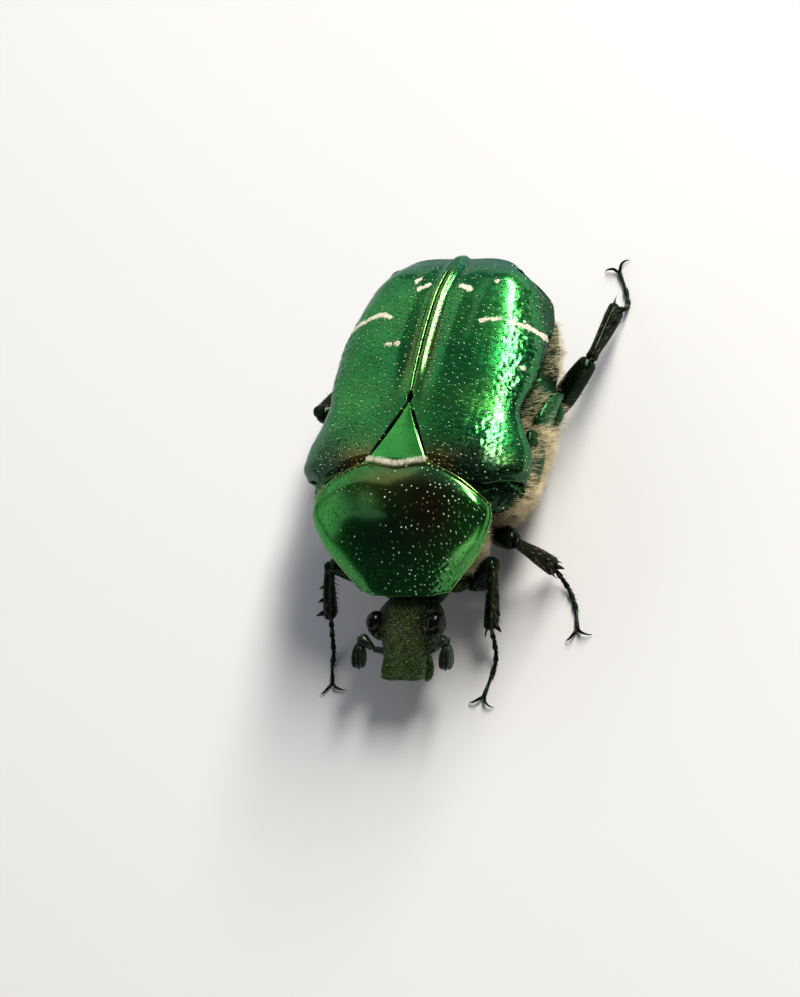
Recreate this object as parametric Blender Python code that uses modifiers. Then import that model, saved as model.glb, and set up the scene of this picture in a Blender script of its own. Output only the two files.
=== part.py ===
"""Rose chafer, a still life-size model standing on six feet.

The body frame is in millimetres: x to the beetle's left, y towards its tail and z up, with the origin
on the midline where the pronotum meets the wing cases, level with the side edge of the wing cases.
Every point is worked out there and moved into the world, in metres, only when a mesh is made.
"""

import math

import bmesh
import bpy
import numpy as np

MM = 0.001
GAP = 0.3
SHELL = 0.5

# Stance: the height of the body frame above the floor, and the middle of the box around the model
FLOOR = -4.7
BOX_MIDDLE = (-0.15, 2.69)

# Wing cases: places along the suture and along the side edge
CASE_FRONT, CASE_TIP = 0.3, 11.1
SIDE_FRONT, SIDE_REAR = -0.1, 10.45
CASE_HALF_WIDTH = [(-0.1, 4.72), (0.5, 4.98), (1.4, 4.92), (2.4, 4.52), (3.4, 4.2), (4.8, 4.38),
                   (6.2, 4.59), (7.7, 4.74), (8.9, 4.54), (9.8, 3.94), (10.45, 3.28)]
SUTURE_HEIGHT = [(0.35, 2.8), (3.0, 2.78), (5.5, 2.72), (8.1, 2.42), (9.5, 1.95), (10.4, 1.42), (11.1, 0.81)]
EDGE_HEIGHT = [(-0.1, 0.08), (1.4, 0.12), (3.4, 0.75), (5.5, 0.2), (7.8, 0.06), (9.2, 0.05), (10.45, 0.73)]
CASE_SQUARENESS = 3.24
TIP_BULGE, TIP_STEP, FRONT_DIP = 0.27, 0.18, 0.3
CASE_BULGE = [(0.0, 0.84), (0.12, 0.75), (0.28, 0.63), (0.42, 0.74), (0.58, 0.54), (0.8, -0.25), (1.0, 0.0)]
CASE_FRONT_EDGE = [(0.0, 0.1), (0.4, 0.05), (0.66, -0.3), (0.76, -0.37), (0.88, 0.05), (1.0, 0.4)]
SUTURE_RIDGE, CASE_COSTA, CALLUS = 0.12, 0.07, 0.14
CASE_ROWS, CASE_COLUMNS = 17, 12

# Scutellum: a triangle let in between the wing cases
SCUTELLUM_HALF_BASE, SCUTELLUM_BASE, SCUTELLUM_TIP = 1.43, 0.27, 2.97
SCUTELLUM_HEIGHT = 2.84

# Pronotum: widths and heights from its rear edge (0) to its front edge (1)
PRONOTUM_REAR = [(0.0, -0.11), (0.34, 0.1), (0.66, -0.35), (1.0, -1.26)]
PRONOTUM_FRONT = [(0.0, -4.99), (0.6, -4.93), (1.0, -4.62)]
PRONOTUM_HALF_WIDTH = [(0.0, 4.22), (0.15, 4.32), (0.5, 3.8), (0.8, 2.85), (1.0, 2.12)]
PRONOTUM_RIDGE_HEIGHT = [(0.0, 2.72), (0.15, 2.84), (0.4, 2.5), (0.7, 1.45), (1.0, -0.1)]
PRONOTUM_EDGE_HEIGHT = [(0.0, 1.46), (0.3, 1.02), (0.6, 0.35), (1.0, -0.46)]
PRONOTUM_ROWS, PRONOTUM_COLUMNS = 10, 18

# Underside: outer half widths and lowest heights along the body
FLANK = [(-0.9, 2.0), (-0.3, 2.3), (0.4, 3.0), (1.3, 4.1), (2.5, 4.7), (4.2, 4.8), (5.6, 4.55),
         (7.5, 4.35), (9.2, 3.8), (10.0, 3.0)]
BELLY = [(-0.9, -2.7), (-0.3, -3.1), (0.5, -3.5), (2.0, -3.65), (4.4, -3.6), (6.0, -3.3), (8.0, -2.95),
         (9.4, -2.4), (10.0, -1.9)]
THORAX_SPAN = (-0.55, 4.65)
ABDOMEN_SPAN = (4.95, 9.7)
STERNITES = 5
NECK_SPAN = (-0.85, -4.35)

# Head: an axis that slopes down to the front edge of the clypeus
HEAD_REAR, HEAD_FRONT = (0.0, -4.75, -1.4), (0.0, -7.9, -2.5)
EYE_CENTRE, EYE_RADIUS = (1.5, -5.7, -1.14), 0.43

# Feelers: the middle line from the root past the elbow to the tip of the club, and half sizes along it
FEELER_PATH = [(1.55, -6.75, -1.8), (1.86, -6.52, -1.6), (2.12, -6.56, -1.57), (2.18, -6.88, -1.74),
               (2.14, -7.3, -1.98), (2.08, -7.78, -2.28)]
FEELER_SIZES = [(0.0, 0.19, 0.19), (0.2, 0.2, 0.2), (0.4, 0.18, 0.18), (0.52, 0.2, 0.2), (0.68, 0.34, 0.25),
                (0.85, 0.42, 0.29), (0.95, 0.34, 0.22), (1.0, 0.17, 0.12)]
FEELER_SIDES, FEELER_RINGS = 10, 14

# Knees and ankles: how far the ends of the segments stop short of the joints
KNEE_BACK, KNEE_DOWN, KNEE_OUT, KNEE_FOLD = 0.52, 0.16, 0.06, 0.6
ANKLE_DOWN, ANKLE_TURN, ANKLE_TURN_MOST = 0.5, 2.2, 0.13


class Leg:
    """The joints of one leg, in the body frame, and the sizes of its segments."""

    def __init__(self, name, hip, knee, ankle, toes, thigh, shin, teeth, spurs):
        self.name = name
        self.hip = np.array(hip)
        self.knee = np.array(knee)
        self.ankle = np.array(ankle)
        self.toes = [np.array(point) for point in toes]
        self.thigh = thigh
        self.shin = shin
        self.teeth = teeth
        self.spurs = spurs


LEGS = [
    Leg("front_left", (2.15, -3.1, -3.05), (3.75, -3.1, -0.75), (3.0, -5.0, -3.2),
        [(2.95, -5.9, -4.15), (2.8, -6.6, -4.45), (2.6, -7.75, -4.45)], 0.5, 0.38, 3, 1),
    Leg("front_right", (-2.15, -3.1, -3.0), (-4.2, -3.1, -0.8), (-4.95, -4.6, -3.2),
        [(-5.15, -5.4, -4.1), (-5.15, -6.1, -4.45), (-4.9, -7.3, -4.45)], 0.5, 0.38, 3, 1),
    Leg("middle_left", (2.2, -0.45, -3.05), (4.5, -2.0, -0.75), (5.1, -1.85, -3.8),
        [(5.75, -2.7, -4.4), (6.15, -3.45, -4.45), (6.45, -4.5, -4.45)], 0.53, 0.4, 2, 2),
    Leg("middle_right", (-2.55, 0.0, -3.45), (-5.0, 0.5, -1.35), (-5.85, 1.5, -3.7),
        [(-6.05, 2.6, -4.4), (-6.3, 3.5, -4.45), (-6.6, 4.5, -4.45)], 0.47, 0.4, 2, 2),
    Leg("hind_left", (3.45, 5.35, -3.8), (5.85, 7.2, -1.8), (5.85, 10.45, -3.3),
        [(5.75, 11.2, -4.35), (5.45, 12.0, -4.45), (4.9, 13.0, -4.45)], 0.52, 0.42, 2, 2),
    Leg("hind_right", (-3.8, 5.45, -3.9), (-6.5, 4.1, -0.75), (-6.45, 7.0, -3.55),
        [(-6.2, 7.8, -4.4), (-6.05, 8.8, -4.45), (-5.7, 10.0, -4.45)], 0.52, 0.42, 2, 2),
]

# Finishes: colour, roughness and metallic value
FINISHES = {
    "case_green": ((0.02, 0.22, 0.04), 0.28, 0.9),
    "pronotum_green": ((0.02, 0.13, 0.03), 0.25, 0.85),
    "scutellum_green": ((0.03, 0.3, 0.05), 0.22, 0.9),
    "flank_green": ((0.015, 0.09, 0.025), 0.35, 0.8),
    "belly_bronze": ((0.05, 0.05, 0.02), 0.4, 0.7),
    "head_green": ((0.03, 0.05, 0.02), 0.45, 0.6),
    "eye_black": ((0.01, 0.008, 0.006), 0.15, 0.0),
    "feeler_black": ((0.015, 0.012, 0.01), 0.4, 0.2),
    "leg_black": ((0.012, 0.02, 0.01), 0.3, 0.5),
}


def smooth(stations, at):
    """Value at one place on a curve through (place, value) stations that never overshoots them."""
    places = np.array([place for place, _ in stations], float)
    values = np.array([value for _, value in stations], float)
    steps = np.diff(places)
    rises = np.diff(values) / steps
    slopes = np.zeros(len(places))
    for k in range(1, len(places) - 1):
        if rises[k - 1] * rises[k] > 0.0:
            slopes[k] = 2.0 / (1.0 / rises[k - 1] + 1.0 / rises[k])
    slopes[0], slopes[-1] = rises[0], rises[-1]
    at = min(max(at, places[0]), places[-1])
    k = min(int(np.searchsorted(places, at, side="right")) - 1, len(steps) - 1)
    t = (at - places[k]) / steps[k]
    start = values[k] * (1 + 2 * t) * (1 - t) ** 2 + slopes[k] * steps[k] * t * (1 - t) ** 2
    end = values[k + 1] * t * t * (3 - 2 * t) - slopes[k + 1] * steps[k] * t * t * (1 - t)
    return start + end


def unit(vector):
    return np.array(vector, float) / np.linalg.norm(vector)


def bump(x, y, middle_x, middle_y, reach_x, reach_y):
    """A rounded rise of height 1 at its middle, fading out over its reach."""
    return math.exp(-((x - middle_x) / reach_x) ** 2 - ((y - middle_y) / reach_y) ** 2)


def fade(value, start, end):
    """0 before start and 1 after end, with an even rise between."""
    t = min(max((value - start) / (end - start), 0.0), 1.0)
    return t * t * (3 - 2 * t)


def to_world(point):
    """A body-frame point in millimetres as a world point in metres."""
    return ((point[0] - BOX_MIDDLE[0]) * MM, (point[1] - BOX_MIDDLE[1]) * MM, (point[2] - FLOOR) * MM)


def add_object(name, mesh, collection):
    made = bpy.data.objects.new(name, mesh)
    collection.objects.link(made)
    return made


def mesh_object(name, points, faces, collection):
    """An object whose mesh has these body-frame points and faces, with its faces turned outward."""
    mesh = bpy.data.meshes.new(name)
    mesh.from_pydata([to_world(point) for point in points], [], faces)
    work = bmesh.new()
    work.from_mesh(mesh)
    bmesh.ops.recalc_face_normals(work, faces=work.faces)
    work.to_mesh(mesh)
    work.free()
    return add_object(name, mesh, collection)


def loft(name, rings, collection):
    """A closed body through rings of equally many points, with a flat cap at each end."""
    count = len(rings[0])
    points = [point for ring in rings for point in ring]
    faces = []
    for row in range(len(rings) - 1):
        for k in range(count):
            here, beside = row * count + k, row * count + (k + 1) % count
            faces.append((here, beside, beside + count, here + count))
    last = (len(rings) - 1) * count
    faces.append(tuple(range(count)))
    faces.append(tuple(range(last, last + count)))
    return mesh_object(name, points, faces, collection)


def sheet(name, rows, thickness, collection):
    """An open surface through rows of points, given a thickness inward by Solidify."""
    count = len(rows[0])
    points = [point for row in rows for point in row]
    faces = []
    for row in range(len(rows) - 1):
        for k in range(count - 1):
            here = row * count + k
            faces.append((here, here + 1, here + count + 1, here + count))
    made = mesh_object(name, points, faces, collection)
    if sum(face.normal.z for face in made.data.polygons) < 0.0:
        made.data.flip_normals()
    wall = made.modifiers.new("wall", "SOLIDIFY")
    wall.thickness = thickness * MM
    wall.offset = -1.0
    return made


def limb_rings(path, sizes, up, sides, count, squareness=2.0):
    """Oval rings along a path, with (place, half width, half height) sizes from 0 to 1 along it."""
    path = [np.array(point, float) for point in path]
    runs = np.concatenate([[0.0], np.cumsum([np.linalg.norm(b - a) for a, b in zip(path, path[1:])])])
    axes = [[(run / runs[-1], point[axis]) for run, point in zip(runs, path)] for axis in range(3)]
    widths = [(place, wide) for place, wide, _ in sizes]
    heights = [(place, high) for place, _, high in sizes]
    places = sorted({place for place, _, _ in sizes} | set(np.linspace(0.0, 1.0, count)))
    nearly = 0.5 / (count * 4)
    places = [p for k, p in enumerate(places) if k == 0 or p - places[k - 1] > nearly]
    rings = []
    for place in places:
        middle = np.array([smooth(axis, place) for axis in axes])
        ahead = np.array([smooth(axis, place + 0.01) - smooth(axis, place - 0.01) for axis in axes])
        ahead = unit(ahead)
        aside = unit(np.cross(ahead, up))
        above = np.cross(aside, ahead)
        power = 2.0 / squareness
        ring = []
        for k in range(sides):
            angle = 2 * math.pi * (k + 0.5) / sides
            wide = math.copysign(abs(math.cos(angle)) ** power, math.cos(angle)) * smooth(widths, place)
            high = math.copysign(abs(math.sin(angle)) ** power, math.sin(angle)) * smooth(heights, place)
            ring.append(middle + aside * wide + above * high)
        rings.append(ring)
    return rings


def limb(name, path, sizes, up, sides, count, collection, squareness=2.0):
    return loft(name, limb_rings(path, sizes, up, sides, count, squareness), collection)


def spike(name, root, tip, radius, collection, sides=5):
    """A tapered spine from a root, sunk in the surface it grows from, to a blunt tip."""
    root, tip = np.array(root, float), np.array(tip, float)
    up = (0, 0, 1) if abs(unit(tip - root)[2]) < 0.9 else (0, 1, 0)
    sizes = [(0.0, radius, radius), (0.5, radius * 0.7, radius * 0.7), (1.0, radius * 0.22, radius * 0.22)]
    return limb(name, [root, tip], sizes, up, sides, 3, collection)


def ball(name, middle, radii, collection, columns=12, rows=8):
    """An ellipsoid with these half axes."""
    work = bmesh.new()
    bmesh.ops.create_uvsphere(work, u_segments=columns, v_segments=rows, radius=1.0)
    for vert in work.verts:
        vert.co = to_world([m + c * r for m, c, r in zip(middle, vert.co, radii)])
    mesh = bpy.data.meshes.new(name)
    work.to_mesh(mesh)
    work.free()
    return add_object(name, mesh, collection)


def keep_largest(mesh):
    """Drops every loose closed surface but the one with the most faces."""
    work = bmesh.new()
    work.from_mesh(mesh)
    waiting = set(work.faces)
    islands = []
    while waiting:
        island = set()
        front = [waiting.pop()]
        while front:
            face = front.pop()
            island.add(face)
            near = {other for edge in face.edges for other in edge.link_faces}
            front.extend(near & waiting)
            waiting -= near
        islands.append(island)
    islands.sort(key=len)
    loose = [face for island in islands[:-1] for face in island]
    bmesh.ops.delete(work, geom=loose, context="FACES")
    work.to_mesh(mesh)
    work.free()


def combine(target, others, operation, solver="EXACT"):
    """Joins the others to the target, or cuts them from it, with one applied Boolean."""
    group = bpy.data.collections.new(target.name + "_" + operation.lower())
    for other in others:
        for holder in list(other.users_collection):
            holder.objects.unlink(other)
        group.objects.link(other)
    change = target.modifiers.new("change", "BOOLEAN")
    change.operation = operation
    change.operand_type = "COLLECTION"
    change.collection = group
    change.solver = solver
    bpy.context.scene.collection.children.link(group)
    bpy.context.view_layer.update()
    graph = bpy.context.evaluated_depsgraph_get()
    mesh = bpy.data.meshes.new_from_object(target.evaluated_get(graph))
    target.modifiers.clear()
    target.data = mesh
    keep_largest(mesh)
    for other in others:
        bpy.data.objects.remove(other)
    bpy.data.collections.remove(group)
    return target


def case_half_width(y):
    return smooth(CASE_HALF_WIDTH, y)


def case_point(along, across):
    """A point on the left wing case: along from front to tip, across from the midline to the side."""
    suture_y = CASE_FRONT + (CASE_TIP - CASE_FRONT) * along
    side_y = SIDE_FRONT + (SIDE_REAR - SIDE_FRONT) * along
    part = across ** CASE_SQUARENESS
    crown = max(1.0 - part, 0.0) ** 0.5
    bulge = smooth(CASE_BULGE, along)
    x = case_half_width(side_y) * across + bulge * 4 * crown * (1 - crown) * part
    tip = TIP_BULGE * 6.75 * across ** 2 * (1 - across) - TIP_STEP * fade(across, 0.02, 0.14)
    y = suture_y + (side_y - suture_y) * across ** 1.5 + tip * along ** 8
    y += smooth(CASE_FRONT_EDGE, across) * fade(-along, -0.1, 0.0)
    edge = smooth(EDGE_HEIGHT, side_y)
    z = edge + (smooth(SUTURE_HEIGHT, suture_y) - edge) * crown
    rear_half = fade(y, 3.2, 4.8)
    ridges = SUTURE_RIDGE * math.exp(-((x - 0.28) / 0.2) ** 2) * rear_half
    ridges += CASE_COSTA * math.exp(-((x - 1.6) / 0.32) ** 2) * fade(y, 4.5, 6.0) * fade(-y, -9.9, -8.6)
    ridges += CALLUS * bump(x, y, 3.75, 0.9, 0.7, 0.8) + CALLUS * bump(x, y, 2.7, 9.7, 0.7, 0.6)
    return np.array([x, y, z + ridges - FRONT_DIP * fade(-along, -0.05, 0.0)])


def inner_edge(y):
    """Half the gap that the wing case keeps to its twin, or to the side of the scutellum."""
    beside = SCUTELLUM_HALF_BASE * (SCUTELLUM_TIP - y) / (SCUTELLUM_TIP - SCUTELLUM_BASE)
    return max(beside + GAP * 1.15, GAP / 2)


def build_wing_case(side, name, collection):
    """One wing case: side 1 is the left one and -1 the right one."""
    near = [0.0, 0.035, 0.075, 0.13, 0.2]
    far = [1 - (1 - k / (CASE_COLUMNS - 2)) ** 1.7 for k in range(2, CASE_COLUMNS - 1)]
    rows = []
    for row in range(CASE_ROWS + 1):
        along = row / CASE_ROWS
        middle = case_point(along, 0.0)
        start = inner_edge(middle[1]) / case_half_width(middle[1])
        points = [case_point(along, start + (1 - start) * part) for part in near + far]
        rows.append([point * (side, 1, 1) for point in points])
    return sheet(name, rows, SHELL, collection)


def build_scutellum(name, collection):
    """A flat triangle with hollowed sides and a slight crown."""
    top, bottom = [], []
    outline = []
    steps = 8
    for k in range(steps + 1):
        part = k / steps
        y = SCUTELLUM_BASE + (SCUTELLUM_TIP - SCUTELLUM_BASE) * part
        half = max(SCUTELLUM_HALF_BASE * (1 - part) - 0.06 * math.sin(math.pi * part), 0.05)
        outline.append((half, y))
    for half, y in outline:
        lift = SCUTELLUM_HEIGHT - 0.03 * (y - SCUTELLUM_BASE)
        row = [(-half, lift - 0.1), (-half * 0.5, lift - 0.02), (0.0, lift), (half * 0.5, lift - 0.02),
               (half, lift - 0.1)]
        top.append([(x, y, z) for x, z in row])
        bottom.append([(x, y, z - SHELL) for x, z in row])
    rings = [above + below[::-1] for above, below in zip(top, bottom)]
    return loft(name, rings, collection)


def pronotum_point(along, across):
    """A point on the pronotum: along from rear to front, across from -1 to 1."""
    part = abs(across)
    rear, front = smooth(PRONOTUM_REAR, part), smooth(PRONOTUM_FRONT, part)
    half = smooth(PRONOTUM_HALF_WIDTH, along)
    edge = smooth(PRONOTUM_EDGE_HEIGHT, along)
    crown = max(1.0 - part ** 2.3, 0.0) ** 0.55
    z = edge + (smooth(PRONOTUM_RIDGE_HEIGHT, along) - edge) * crown
    return np.array([half * across, rear + (front - rear) * along, z])


def build_pronotum(name, collection):
    rows = []
    for row in range(PRONOTUM_ROWS + 1):
        along = row / PRONOTUM_ROWS
        turns = [math.sin(math.pi / 2 * (2 * k / PRONOTUM_COLUMNS - 1)) for k in range(PRONOTUM_COLUMNS + 1)]
        rows.append([pronotum_point(along, turn) for turn in turns])
    return sheet(name, rows, SHELL, collection)


def body_ring(y, hollow):
    """A cross section of the trunk: a crown inside the wing cases, a shelf below them, and a belly."""
    case_y = min(max(y, SIDE_FRONT), SIDE_REAR)
    edge = smooth(EDGE_HEIGHT, case_y) - GAP - 0.05
    inner = case_half_width(case_y) - SHELL - GAP - 0.15 - hollow
    crown = smooth(SUTURE_HEIGHT, y + 0.4) - SHELL - GAP - 0.1 - hollow
    flank, belly = smooth(FLANK, y), smooth(BELLY, y)
    inner = min(inner, flank - 0.15)
    right = []
    for k in range(7):
        angle = math.pi / 2 * k / 6
        right.append((inner * math.sin(angle) ** 0.85, edge + (crown - edge) * math.cos(angle) ** 0.85))
    waist = -1.25
    right.append((flank - 0.12, min(edge - 0.1, -0.35)))
    for k in range(6):
        angle = math.pi / 2 * k / 6
        right.append((flank * math.cos(angle) ** 0.9, waist + (belly - waist) * math.sin(angle) ** 0.9))
    left = [(-x, z) for x, z in right[:0:-1]]
    return [(x, y, z) for x, z in right + [(0.0, belly)] + left]


def build_thorax(name, collection):
    """The middle and hind rings of the thorax, with four hips and the knob between the middle ones."""
    start, end = THORAX_SPAN
    rings = []
    for k in range(9):
        y = start + (end - start) * k / 8
        rings.append(body_ring(y, 0.75 * fade(-y, 0.0, 0.5)))
    body = loft(name, rings, collection)
    hips = [ball("hip", (0.0, -0.55, -3.1), (0.42, 0.55, 0.42), collection)]
    for side in (1, -1):
        hips.append(ball("hip", (side * 1.25, -0.1, -2.95), (0.7, 0.55, 0.6), collection, 12, 7))
        corner = [(side * 1.2, 4.3, -3.15), (side * 3.0, 4.3, -3.1), (side * 4.3, 4.3, -1.9)]
        sizes = [(0.0, 0.3, 0.4), (0.5, 0.42, 0.42), (1.0, 0.35, 0.5)]
        hips.append(limb("hip", corner, sizes, (0, 1, 0), 8, 5, collection))
    return combine(body, hips, "UNION")


def build_abdomen(name, collection):
    """The abdomen, whose underside steps at each of its segments."""
    start, end = ABDOMEN_SPAN
    rings = []
    for segment in range(STERNITES):
        for part, step in ((0.0, 0.0), (0.85, -0.09)):
            y = start + (end - start) * (segment + part) / STERNITES
            ring = body_ring(y, 0.1 + 0.25 * fade(y, 8.0, 10.0))
            rings.append([(x, yy, z + step if z < -1.2 else z) for x, yy, z in ring])
    rings.append(body_ring(end, 0.35))
    return loft(name, rings, collection)


def build_pygidium(name, collection):
    """The plate that closes the tail under the tips of the wing cases."""
    rings = []
    for k in range(8):
        part = k / 7
        z = 0.05 - 2.35 * part
        half = 2.75 * (1 - 0.78 * part ** 1.6)
        middle = 10.3 + 0.32 * math.sin(math.pi * part * 0.75) - 0.25 * part
        arc = [(half * math.sin(a), middle + 0.42 * math.cos(a)) for a in np.linspace(-1.45, 1.45, 11)]
        back = [(x * 0.96, y - SHELL) for x, y in reversed(arc)]
        rings.append([(x, y, z) for x, y in arc + back])
    return loft(name, rings, collection)


def build_prothorax(name, collection):
    """The trunk under the pronotum, with the two front hips."""
    start, end = NECK_SPAN
    rings = []
    for k in range(8):
        y = start + (end - start) * k / 7
        along = k / 7 * 0.84 + 0.12
        half = smooth(PRONOTUM_HALF_WIDTH, along) - SHELL - GAP - 0.3
        half = min(half, 2.95)
        crown = smooth(PRONOTUM_RIDGE_HEIGHT, along) - SHELL - GAP - 0.3
        edge = smooth(PRONOTUM_EDGE_HEIGHT, along) - 0.25
        belly = -2.35 - 0.25 * math.sin(math.pi * k / 7)
        ring = []
        for turn in range(20):
            angle = 2 * math.pi * turn / 20
            height = (crown - edge) if math.cos(angle) > 0 else (edge - belly)
            high = math.copysign(abs(math.cos(angle)) ** 0.9, math.cos(angle))
            ring.append((half * math.sin(angle), y, edge + height * high))
        rings.append(ring)
    body = loft(name, rings, collection)
    hips = []
    for side in (1, -1):
        hips.append(ball("hip", (side * 1.2, -3.0, -2.5), (0.68, 0.62, 0.55), collection))
    return combine(body, hips, "UNION")


def build_mesepimeron(side, name, collection):
    """The plate that fills the notch between the pronotum and the shoulder of the wing case."""
    path = [(side * 3.85, -0.66, 1.6), (side * 4.4, -0.8, 1.12), (side * 4.83, -0.66, 0.42)]
    sizes = [(0.0, 0.2, 0.25), (0.35, 0.42, 0.38), (0.75, 0.4, 0.36), (1.0, 0.16, 0.18)]
    return limb(name, path, sizes, (side * 0.8, -0.3, 1), 9, 5, collection)


def build_head(name, collection):
    """The head with its squared clypeus, raised front rim, mouth parts and eye sockets."""
    sizes = [(0.0, 1.1, 0.5), (0.15, 1.5, 0.72), (0.34, 1.62, 0.78), (0.48, 1.36, 0.66), (0.62, 1.06, 0.5),
             (0.86, 1.02, 0.35), (0.95, 0.98, 0.32), (1.0, 0.86, 0.24)]
    head = limb(name, [HEAD_REAR, HEAD_FRONT], sizes, (0, 0, 1), 16, 5, collection, 2.7)
    palps = []
    for side in (1, -1):
        path = [(side * 0.7, -6.5, -2.35), (side * 0.85, -7.2, -2.85), (side * 0.7, -7.8, -3.05)]
        palps.append(limb("palp", path, [(0.0, 0.25, 0.25), (0.7, 0.25, 0.25), (1.0, 0.1, 0.1)],
                          (0, 0, 1), 6, 4, collection))
    palps.append(ball("palp", (0, -6.6, -2.45), (0.85, 0.95, 0.5), collection))
    combine(head, palps, "UNION")
    socket = EYE_RADIUS + GAP * 0.85
    cutters = [ball("socket", (side * EYE_CENTRE[0], EYE_CENTRE[1], EYE_CENTRE[2]), (socket,) * 3, collection)
               for side in (1, -1)]
    return combine(head, cutters, "DIFFERENCE")


def build_feeler(side, name, collection):
    """A feeler as one plain form: the long first joint, the bend at the elbow and the closed club."""
    path = [np.array(point) * (side, 1, 1) for point in FEELER_PATH]
    return limb(name, path, FEELER_SIZES, (0, 0.3, 1), FEELER_SIDES, FEELER_RINGS, collection)


def build_thigh(leg, collection):
    along = unit(leg.knee - leg.hip)
    end = leg.knee - along * KNEE_BACK
    wide = leg.thigh
    sizes = [(0.0, wide * 0.5, wide * 0.5), (0.12, wide * 0.8, wide * 0.85), (0.45, wide, wide * 1.1),
             (0.8, wide * 0.85, wide * 0.9), (1.0, wide * 0.56, wide * 0.56)]
    return limb("femur_" + leg.name, [leg.hip, end], sizes, (0, 0, 1), 9, 4, collection)


def build_shin(leg, collection):
    """A tibia that widens to its end, with outer teeth, and spurs beside the foot."""
    along = unit(leg.ankle - leg.knee)
    thigh_line = unit(leg.knee - leg.hip)
    fold = max(-float(np.dot(thigh_line, along)), 0.0)
    start = leg.knee + along * KNEE_DOWN + thigh_line * (KNEE_OUT + KNEE_FOLD * fold)
    wide = leg.shin
    side = math.copysign(1.0, leg.hip[0])
    up = (side, 0, 0.2)
    sizes = [(0.0, 0.22, 0.22), (0.1, 0.27, 0.25), (0.5, wide * 0.8, 0.28), (0.9, wide, 0.32),
             (1.0, wide * 0.88, 0.28)]
    shin = limb("tibia_" + leg.name, [start, leg.ankle], sizes, up, 8, 5, collection)
    span = np.linalg.norm(leg.ankle - start)
    outward = unit(np.cross(along, np.cross((side, -0.25, 0.35), along)))
    spines = []
    for k in range(leg.teeth):
        place = start + along * span * (0.93 - 0.27 * k)
        size = 0.16 - 0.02 * k
        spines.append(spike("tooth", place, place + outward * (0.72 - 0.06 * k) + along * 0.22, size, collection))
    sideways = unit(np.cross(along, outward))
    for k in range(leg.spurs):
        place = leg.ankle - along * 0.12 + sideways * 0.22 * (1 - 2 * k)
        spines.append(spike("spur", place, place + along * 0.5 + sideways * 0.2 * (1 - 2 * k), 0.1, collection))
    return combine(shin, spines, "UNION")


def build_foot(leg, collection):
    """A tarsus of five beads that ends in two spread claws and lies flat on the floor."""
    along = unit(leg.toes[0] - leg.ankle)
    turn = 1.0 - float(np.dot(along, unit(leg.ankle - leg.knee)))
    path = [leg.ankle + along * (ANKLE_DOWN + ANKLE_TURN * min(turn, ANKLE_TURN_MOST))] + leg.toes
    sizes = [(0.0, 0.17, 0.17)]
    for bead in range(5):
        start, end = bead / 5, (bead + 1) / 5
        sizes.append((start + 0.03, 0.225, 0.225))
        sizes.append((end - 0.04, 0.29, 0.27))
    sizes.append((1.0, 0.22, 0.2))
    rings = limb_rings(path, sizes, (0, 0, 1), 7, 4)
    foot = loft("tarsus_" + leg.name, rings, collection)
    heading = unit(leg.toes[-1] - leg.toes[-2])
    sideways = np.cross(heading, (0, 0, 1))
    claws = []
    for turn in (1, -1):
        root = leg.toes[-1] - heading * 0.2
        bend = root + heading * 0.42 + sideways * 0.26 * turn + (0, 0, 0.12)
        tip = root + heading * 0.62 + sideways * 0.62 * turn - (0, 0, 0.1)
        claws.append(limb("claw", [root, bend, tip], [(0.0, 0.13, 0.13), (0.6, 0.1, 0.1), (1.0, 0.04, 0.04)],
                          (0, 0, 1), 5, 4, collection))
    combine(foot, claws, "UNION")
    for vert in foot.data.vertices:
        vert.co.z = max(vert.co.z, 0.0)
    return foot


def make_material(name):
    """A Principled material in one of the named finishes."""
    colour, roughness, metallic = FINISHES[name]
    material = bpy.data.materials.new(name)
    material.use_nodes = True
    surface = material.node_tree.nodes["Principled BSDF"]
    surface.inputs["Base Color"].default_value = (*colour, 1.0)
    surface.inputs["Roughness"].default_value = roughness
    surface.inputs["Metallic"].default_value = metallic
    return material


def dress(made, finish):
    made.data.materials.clear()
    made.data.materials.append(make_material(finish) if finish not in bpy.data.materials
                               else bpy.data.materials[finish])
    made.data.shade_smooth()
    made.data.set_sharp_from_angle(angle=math.radians(50))


def build_beetle(collection):
    """Every sub-part in turn, from the shell plates to the feet."""
    for side, word in ((1, "left"), (-1, "right")):
        dress(build_wing_case(side, "elytron_" + word, collection), "case_green")
        dress(build_mesepimeron(side, "mesepimeron_" + word, collection), "flank_green")
        dress(build_feeler(side, "antenna_" + word, collection), "feeler_black")
        eye = ball("eye_" + word, np.array(EYE_CENTRE) * (side, 1, 1), (EYE_RADIUS,) * 3, collection)
        dress(eye, "eye_black")
    dress(build_scutellum("scutellum", collection), "scutellum_green")
    dress(build_pronotum("pronotum", collection), "pronotum_green")
    dress(build_prothorax("prothorax", collection), "belly_bronze")
    dress(build_thorax("thorax", collection), "belly_bronze")
    dress(build_abdomen("abdomen", collection), "belly_bronze")
    dress(build_pygidium("pygidium", collection), "flank_green")
    dress(build_head("head", collection), "head_green")
    for leg in LEGS:
        dress(build_thigh(leg, collection), "leg_black")
        dress(build_shin(leg, collection), "leg_black")
        dress(build_foot(leg, collection), "leg_black")


def main():
    for old in list(bpy.data.objects):
        bpy.data.objects.remove(old)
    collection = bpy.data.collections.new("rose_chafer")
    bpy.context.scene.collection.children.link(collection)
    build_beetle(collection)


main()
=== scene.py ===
"""Rose chafer: the looks of a still, life-size beetle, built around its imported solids.

Lengths are in millimetres in the body frame: x to the beetle's left, y towards its tail and z up, from
the point on the midline where the pronotum meets the wing cases, level with the cases' side edge.
Points are moved into the solids' frame, in metres, when a mesh is made.
"""

import logging
import math
from dataclasses import dataclass, field
from enum import Enum
from typing import Any, Sequence

import bmesh
import bpy
import numpy as np
from mathutils import Matrix, Vector


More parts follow.
